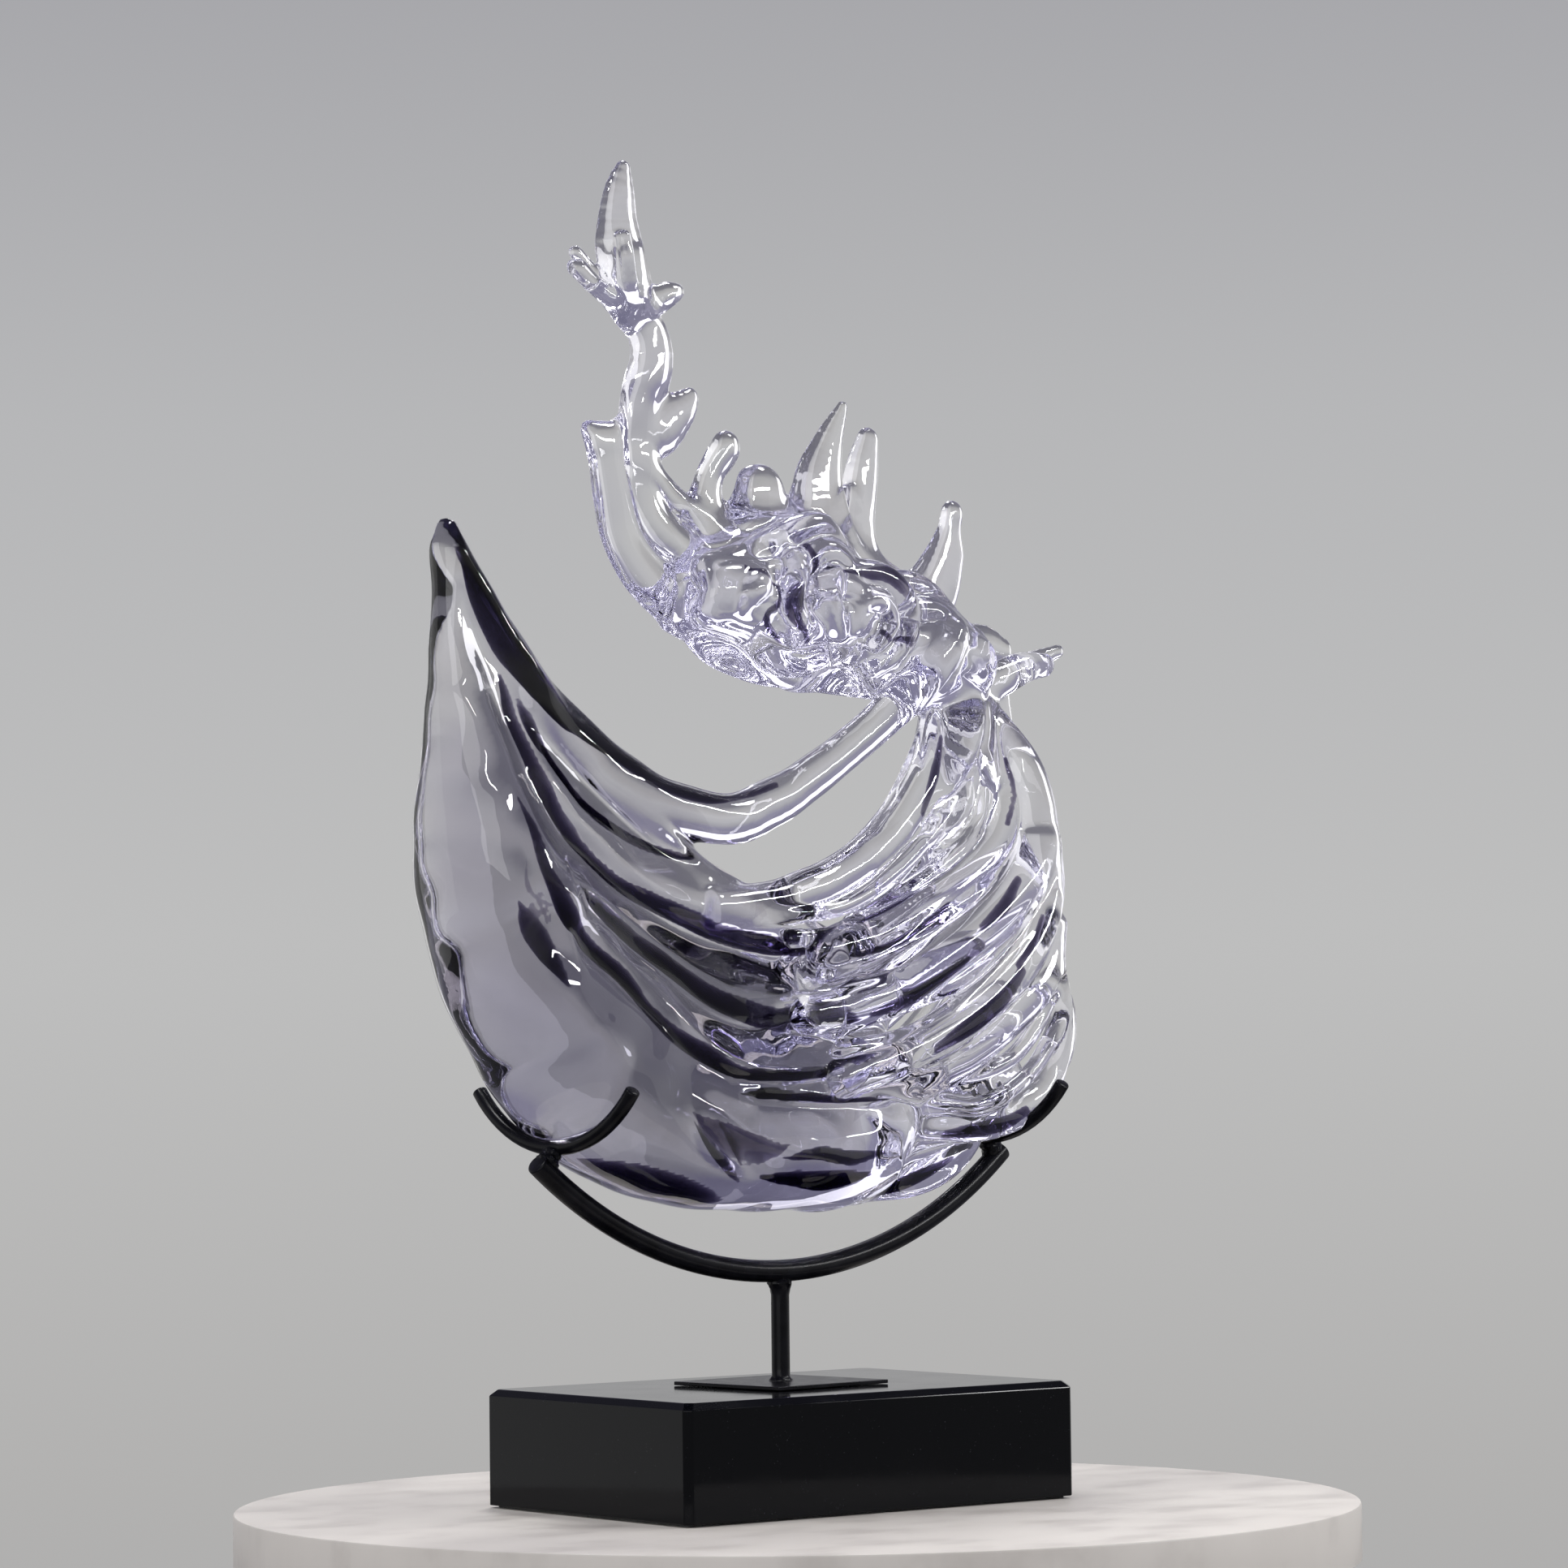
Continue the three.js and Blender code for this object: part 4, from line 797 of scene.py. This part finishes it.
def zinc_material():
    material, shader, _ = new_material("zinc", {"Metallic": 1.0})
    spangle = noise(material, 260, detail=4)
    colour_by(material, shader, spangle, (0.35, (0.48, 0.49, 0.50)), (0.7, (0.66, 0.67, 0.68)))
    rough_by(material, shader, spangle, 0.28, 0.45)
    bump(material, shader, noise(material, 1500), 0.2, 0.0003)
    return material


def floor_material():
    material, shader, _ = new_material("floor", {"Specular IOR Level": 0.3})
    marks = noise(material, 16, detail=6, stretch=(1, 1.6, 1))
    colour_by(material, shader, marks, (0.32, (0.42, 0.393, 0.358)), (0.5, (0.50, 0.472, 0.432)),
              (0.75, (0.53, 0.502, 0.46)))
    rough_by(material, shader, marks, 0.38, 0.55)
    bump(material, shader, noise(material, 300, detail=4), 0.1, 0.0005)
    return material


# Wave
painted_band_cut, painted_band_layer = add_blade()
for strand in STRANDS:
    add_strand(*strand)
add_splash()
add_crest_ropes()
add_crest_folds()
ripple_blade()
carve_seats()
clear_resin = resin_material()
smoke_resin = tinted_layer("smoke_resin", (0.13, 0.12, 0.17), 6.2, (0.95, 0.945, 0.955))
# Painted dark reflections: a dark violet absorbing tint for the bands under the folds and the lines
# through the resin
painted_reflection_resin = tinted_layer("painted_reflection_resin", (0.12, 0.07, 0.28), 650.0, (0.8, 0.78, 0.84))
wave = surface("wave", field, clear_resin)
core = surface("smoke_tint", smoke_field(), smoke_resin)
# Painted dark reflections: the bands under the blade's folds and the dark lines through the rim, splash
# and crest, kept just under the surface
painted_band_field = np.full_like(field, FAR)
painted_band_field[painted_band_cut] = painted_band_layer
for line in PAINTED_DARK_LINES:
    add_strand(**PAINTED_LINE_SHAPE, points=line, into=painted_band_field)
painted_band_field = np.maximum(painted_band_field, field + PAINTED_BAND_INSET)
painted_bands = surface("painted_reflection_bands", painted_band_field, painted_reflection_resin)
castings = frame["record"]["behaviour"]["bodies"]["sculpture"]
# The painted dark reflection bands go with the smoke resin's slot
for piece, slot in ((wave, "clear_resin"), (core, "smoke_resin"), (painted_bands, "smoke_resin")):
    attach(piece, "sculpture")
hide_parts(*castings)
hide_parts("wave_blade")
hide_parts("wave_blade")

# Stand pieces, as rings of points: ends eased by [inward, take], welds as [run, radius]
BAR_SIDES = 28
BAR_ANGLES = 2 * np.pi * np.arange(BAR_SIDES) / BAR_SIDES
BAR_SPACING = 3.0
SHARP_ANGLE = math.radians(40)
END_EASE = [(0.0, 1.0), (0.25, 0.45), (0.6, 0.12), (1.1, 0.0)]
WELD_LUMPS = [(5, 0.06, 0.0), (9, 0.04, 1.1), (14, 0.02, 2.3)]
FOOT_WELD = [(0.3, 6.6), (0.8, 6.0), (1.6, 5.4)]
HEAD_WELD = [(48.5, 5.3), (50.5, 5.8), (52.2, 6.6), (53.6, 6.5), (55.5, 4.4)]
POST_SHANK = SimpleNamespace(foot=2.6, head=46.0, rings=12)
STUB_WELD = [(3.0, 5.4), (4.8, 6.3), (6.2, 6.0), (7.4, 4.9), (8.6, 4.7), (9.6, 5.3), (10.6, 5.3),
             (12.2, 3.8)]
# Eased copies: widths of the easing in millimetres, and the angles of flat joins and of edges to ease
PLATE_EASE = 0.4
PLINTH_EASE = 0.6
FLAT_ANGLE = math.radians(2)
EASE_ANGLE = math.radians(32)
SAME_POINT = 1e-6


def skinned(name, rings, material, place=Matrix()):
    """A closed mesh through rings that have the same number of points, put in its place."""
    count = len(rings[0])
    points = [tuple(point) for ring in rings for point in ring]
    faces = [tuple(range(count)), tuple(range(len(points) - count, len(points)))]
    for first in range(0, len(points) - count, count):
        for side in range(count):
            turn = (side + 1) % count
            faces.append((first + side, first + turn, first + count + turn, first + count + side))
    piece = mesh_object(name, points, faces, material)
    edit_mesh(piece.data, lambda shell: bmesh.ops.recalc_face_normals(shell, faces=shell.faces))
    piece.data.set_sharp_from_angle(angle=SHARP_ANGLE)
    piece.data.transform(place)
    return piece


def circle_ring(middle, along, across, radii):
    """A ring of points round a line, with one radius or one for each point."""
    sideways = np.cross(along, across)
    outward = np.cos(BAR_ANGLES)[:, None] * across + np.sin(BAR_ANGLES)[:, None] * sideways
    return middle + outward * np.broadcast_to(radii, BAR_SIDES)[:, None]


def bent_bar(name, bar, radius, half_run, place, across, material):
    """A round bar bent to an arc, its cut ends eased; place turns (along, up) into a point."""
    half = radius * math.asin(half_run / radius)
    ends = [half - inward for inward, _ in END_EASE]
    middle = np.linspace(-ends[-1], ends[-1], round(half / BAR_SPACING))
    runs = [(-run, take) for run, (_, take) in zip(ends, END_EASE)]
    runs += [(run, 0.0) for run in middle[1:-1]]
    runs += [(run, take) for run, (_, take) in zip(ends, END_EASE)][::-1]
    rings = []
    for run, take in runs:
        angle = run / radius
        point = np.array(place(radius * math.sin(angle), radius * (1 - math.cos(angle))))
        along = np.array(place(math.cos(angle), math.sin(angle))) - np.array(place(0, 0))
        rings.append(circle_ring(point, along, np.array(across), bar / 2 - take))
    return skinned(name, rings, material, STAND_FRAME)


def weld_radii(radius, share, place):
    """A ring's radii with the lumps of a weld bead."""
    lumps = sum(size * np.sin(count * BAR_ANGLES + phase + place) for count, size, phase in WELD_LUMPS)
    return radius * (1 + share * lumps)


def join_flat(shell):
    bmesh.ops.remove_doubles(shell, verts=shell.verts, dist=SAME_POINT)
    bmesh.ops.dissolve_limit(shell, angle_limit=FLAT_ANGLE, verts=shell.verts, edges=shell.edges)


def eased_copy(name, node, width, material):
    """A solid of the part with its sharp edges eased."""
    mesh = frame["nodes"][node].data.copy()
    mesh.name = name
    mesh.materials.clear()
    mesh.materials.append(material)
    edit_mesh(mesh, join_flat)
    mesh.shade_flat()
    piece = new_object(name, mesh)
    apply_modifier(piece, "BEVEL", width=width * MM, segments=3, limit_method="ANGLE",
                   angle_limit=EASE_ANGLE)
    return piece


def post_piece(material):
    """The post with its weld beads at the plate and under the bow."""
    heights = np.linspace(POST_SHANK.foot, POST_SHANK.head, POST_SHANK.rings)
    shank = [(height, POST_RADIUS) for height in heights]
    rings = []
    for rows, share in ((FOOT_WELD, 1.0), (shank, 0.0), (HEAD_WELD, 1.0)):
        for height, radius in rows:
            middle = np.array([0, 0, PLATE_TOP + height])
            rings.append(circle_ring(middle, np.array([0, 0, 1.0]), np.array([1.0, 0, 0]),
                                     weld_radii(radius, share, height)))
    return skinned("post_welded", rings, material, STAND_FRAME)


def stub_piece(name, side, material):
    """A stub welded between the bow and a cradle."""
    lean = math.asin(CRADLE_HALF_SPAN / (BOW_RADIUS - (BOW_BAR + CRADLE_BAR) / 2 - STUB_LENGTH))
    inward = np.array([-side * math.sin(lean), 0, math.cos(lean)])
    start = np.array([0, 0, BOW_LOW + BOW_RADIUS]) - BOW_RADIUS * inward
    across = np.array([0, 1.0, 0])
    rings = [circle_ring(start + run * inward, inward, across, weld_radii(radius, 1.0, run))
             for run, radius in STUB_WELD]
    return skinned(name, rings, material, STAND_FRAME)


# Base felt: a cut sheet with slightly wavy edges
FELT_EDGE = SimpleNamespace(spacing=5.0, inset=0.4, wave=0.35, length=37.0, lean=1.7)
FELT_RINGS = [(0.05, 0.5), (0.35, 0.1), (0.75, 0.0), (1.15, 0.1), (1.45, 0.5)]


def felt_piece(material):
    _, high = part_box("base_felt")
    half_x, half_y = high.x / MM - FELT_EDGE.inset, high.y / MM - FELT_EDGE.inset
    corners = [(half_x, half_y), (-half_x, half_y), (-half_x, -half_y), (half_x, -half_y)]
    rings = []
    for height, inset in FELT_RINGS:
        ring = []
        for (x0, y0), (x1, y1) in zip(corners, corners[1:] + corners[:1]):
            count = round(math.hypot(x1 - x0, y1 - y0) / FELT_EDGE.spacing)
            for share in np.arange(count) / count:
                x, y = x0 + share * (x1 - x0), y0 + share * (y1 - y0)
                turn = 2 * math.pi * (x + FELT_EDGE.lean * y) / FELT_EDGE.length
                shrink = 1 - (inset + FELT_EDGE.wave + FELT_EDGE.wave * math.sin(turn)) / half_y
                ring.append((x * MM * shrink, y * MM * shrink, height * MM))
        rings.append(ring)
    return skinned("felt_sheet", rings, material)


# Stand
black_steel = steel_material()
cradle_low = SEAT_HEIGHT - CRADLE_BAR / 2
stand_pieces = {
    "bow": bent_bar("bow_bar", BOW_BAR, BOW_RADIUS, BOW_HALF_CHORD,
                    lambda along, up: (along, 0, BOW_LOW + up), (0, 1.0, 0), black_steel),
    "post": post_piece(black_steel),
    "mounting_plate": eased_copy("plate_eased", "mounting_plate", PLATE_EASE, black_steel),
}
for name, side in (("left", -1), ("right", 1)):
    stand_pieces[name + "_cradle"] = bent_bar(
        name + "_cradle_bar", CRADLE_BAR, CRADLE_RADIUS, CRADLE_HALF_WIDTH,
        lambda along, up: (side * CRADLE_HALF_SPAN, along, cradle_low + up), (1.0, 0, 0), black_steel)
    stand_pieces[name + "_stub"] = stub_piece(name + "_stub_weld", side, black_steel)
stand_pieces["plinth"] = eased_copy("plinth_polished", "plinth", PLINTH_EASE, stone_material())
stand_pieces["base_felt"] = felt_piece(felt_material())
for node, piece in stand_pieces.items():
    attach(piece, "stand")
    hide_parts(node)
zinc = zinc_material()
for name in ("washer", "fixing_screw"):
    frame["nodes"][name].data.materials.clear()
    frame["nodes"][name].data.materials.append(zinc)

# Floor: a round pale slab
FLOOR_RADIUS = 0.303
FLOOR_RINGS = [(-0.03, 0.0), (-0.0015, 0.0), (-0.0004, 0.0005), (0.0, 0.0015)]
FLOOR_SIDES = 160
AWAY = Vector((math.sin(CAMERA_TURN), math.cos(CAMERA_TURN), 0))
RIGHT = Vector((math.cos(CAMERA_TURN), -math.sin(CAMERA_TURN), 0))
FLOOR_MIDDLE = 0.008 * RIGHT
turns = 2 * np.pi * np.arange(FLOOR_SIDES) / FLOOR_SIDES
floor_rings = [[(FLOOR_MIDDLE.x + (FLOOR_RADIUS - inset) * math.cos(turn),
                 FLOOR_MIDDLE.y + (FLOOR_RADIUS - inset) * math.sin(turn), height) for turn in turns]
               for height, inset in FLOOR_RINGS]
skinned("floor", floor_rings, floor_material())


# World: colours from straight down to straight up, a pale belt between a dim ground and a dim ceiling
WORLD_STOPS = [
    (0.0, (0.11, 0.108, 0.14)), (0.38, (0.20, 0.198, 0.22)), (0.43, (0.40, 0.40, 0.40)),
    (0.46, (0.445, 0.44, 0.435)), (0.51, (0.515, 0.515, 0.515)), (0.56, (0.47, 0.472, 0.482)),
    (0.60, (0.385, 0.385, 0.405)), (0.64, (0.27, 0.262, 0.345)), (1.0, (0.17, 0.165, 0.24)),
]


def studio_world():
    world = bpy.data.worlds.new("studio")
    bpy.context.scene.world = world
    world.use_nodes = True
    world.node_tree.nodes.clear()
    parts = add_node(world, "ShaderNodeSeparateXYZ")
    link(add_node(world, "ShaderNodeTexCoord").outputs["Generated"], parts.inputs["Vector"])
    height = spread(world, parts.outputs["Z"], (-1.0, 1.0), (0.0, 1.0))
    background = add_node(world, "ShaderNodeBackground")
    link(ramp(world, height, *WORLD_STOPS), background.inputs["Color"])
    output = add_node(world, "ShaderNodeOutputWorld")
    link(background.outputs["Background"], output.inputs["Surface"])


def area_light(name, place, aim, size, power):
    """A lamp aimed at a point; a single size makes it round."""
    light = bpy.data.lights.new(name, "AREA")
    light.shape = "RECTANGLE" if isinstance(size, tuple) else "DISK"
    light.size, light.size_y = size if isinstance(size, tuple) else (size, size)
    light.energy = power
    lamp = new_object(name, light)
    lamp.location = place
    lamp.rotation_euler = (Vector(aim) - Vector(place)).to_track_quat("-Z", "Y").to_euler()
    lamp.visible_camera = False


# Lamps round the wave, as seen by the camera: name, metres right, away and up, size and power
UP = Vector((0, 0, 1))
AIM = Vector((0, 0, 0.4))
LOW_AIM = 0.4 * AIM
LAMPS = [
    ("top_back", 0, 0.9, 1.9, 0.6, 30),
    ("top_left", -1.2, -0.6, 1.8, 0.6, 27),
    ("left_box", -1.7, 0.5, 0, (1.4, 1.2), 3.0),
    ("right_box", 1.7, 0.6, 0, (1.4, 1.2), 2.6),
    ("side_strip", 1.9, -0.5, 0.6, (1.2, 0.12), 24),
    ("back_left", -1.0, 2.0, 0.2, (0.4, 1.4), 1.6),
    ("back_right", 1.0, 2.0, 0.2, (1.1, 1.4), 0.7),
    ("back_top", 0, 2.0, 1.2, (1.6, 0.5), 3),
    ("front_strip", 0, -2.0, 0.75, (0.9, 0.04), 6),
    ("front_low", -0.9, -2.0, 0.1, (1.8, 0.9), 14),
    ("top_right", 1.4, 0.3, 1.7, 0.5, 15),
]
studio_world()
for name, right, away, up, size, power in LAMPS:
    aim = LOW_AIM if name == "front_low" else AIM
    area_light(name, AIM + right * RIGHT + away * AWAY + up * UP, aim, size, power)

# Camera
camera_data = bpy.data.cameras.new("camera")
camera_data.sensor_width = 36.0
camera_data.sensor_fit = "HORIZONTAL"
camera_data.lens = camera_data.sensor_width * FOCAL_PIXELS / PHOTO_SIDE
camera = new_object("camera", camera_data)
camera.matrix_world = (
    Matrix.Translation(CAMERA_PLACE)
    @ Matrix.Rotation(-CAMERA_TURN, 4, "Z")
    @ Matrix.Rotation(math.pi / 2 + CAMERA_PITCH, 4, "X")
    @ Matrix.Rotation(CAMERA_ROLL, 4, "Z")
)

# Plain colours, and enough bounces for light to cross the folds
BOUNCES = 24
scene = bpy.context.scene
scene.camera = camera
scene.view_settings.view_transform = "Standard"
scene.cycles.max_bounces = BOUNCES
scene.cycles.glossy_bounces = BOUNCES
scene.cycles.transmission_bounces = BOUNCES
scene.cycles.transparent_max_bounces = BOUNCES
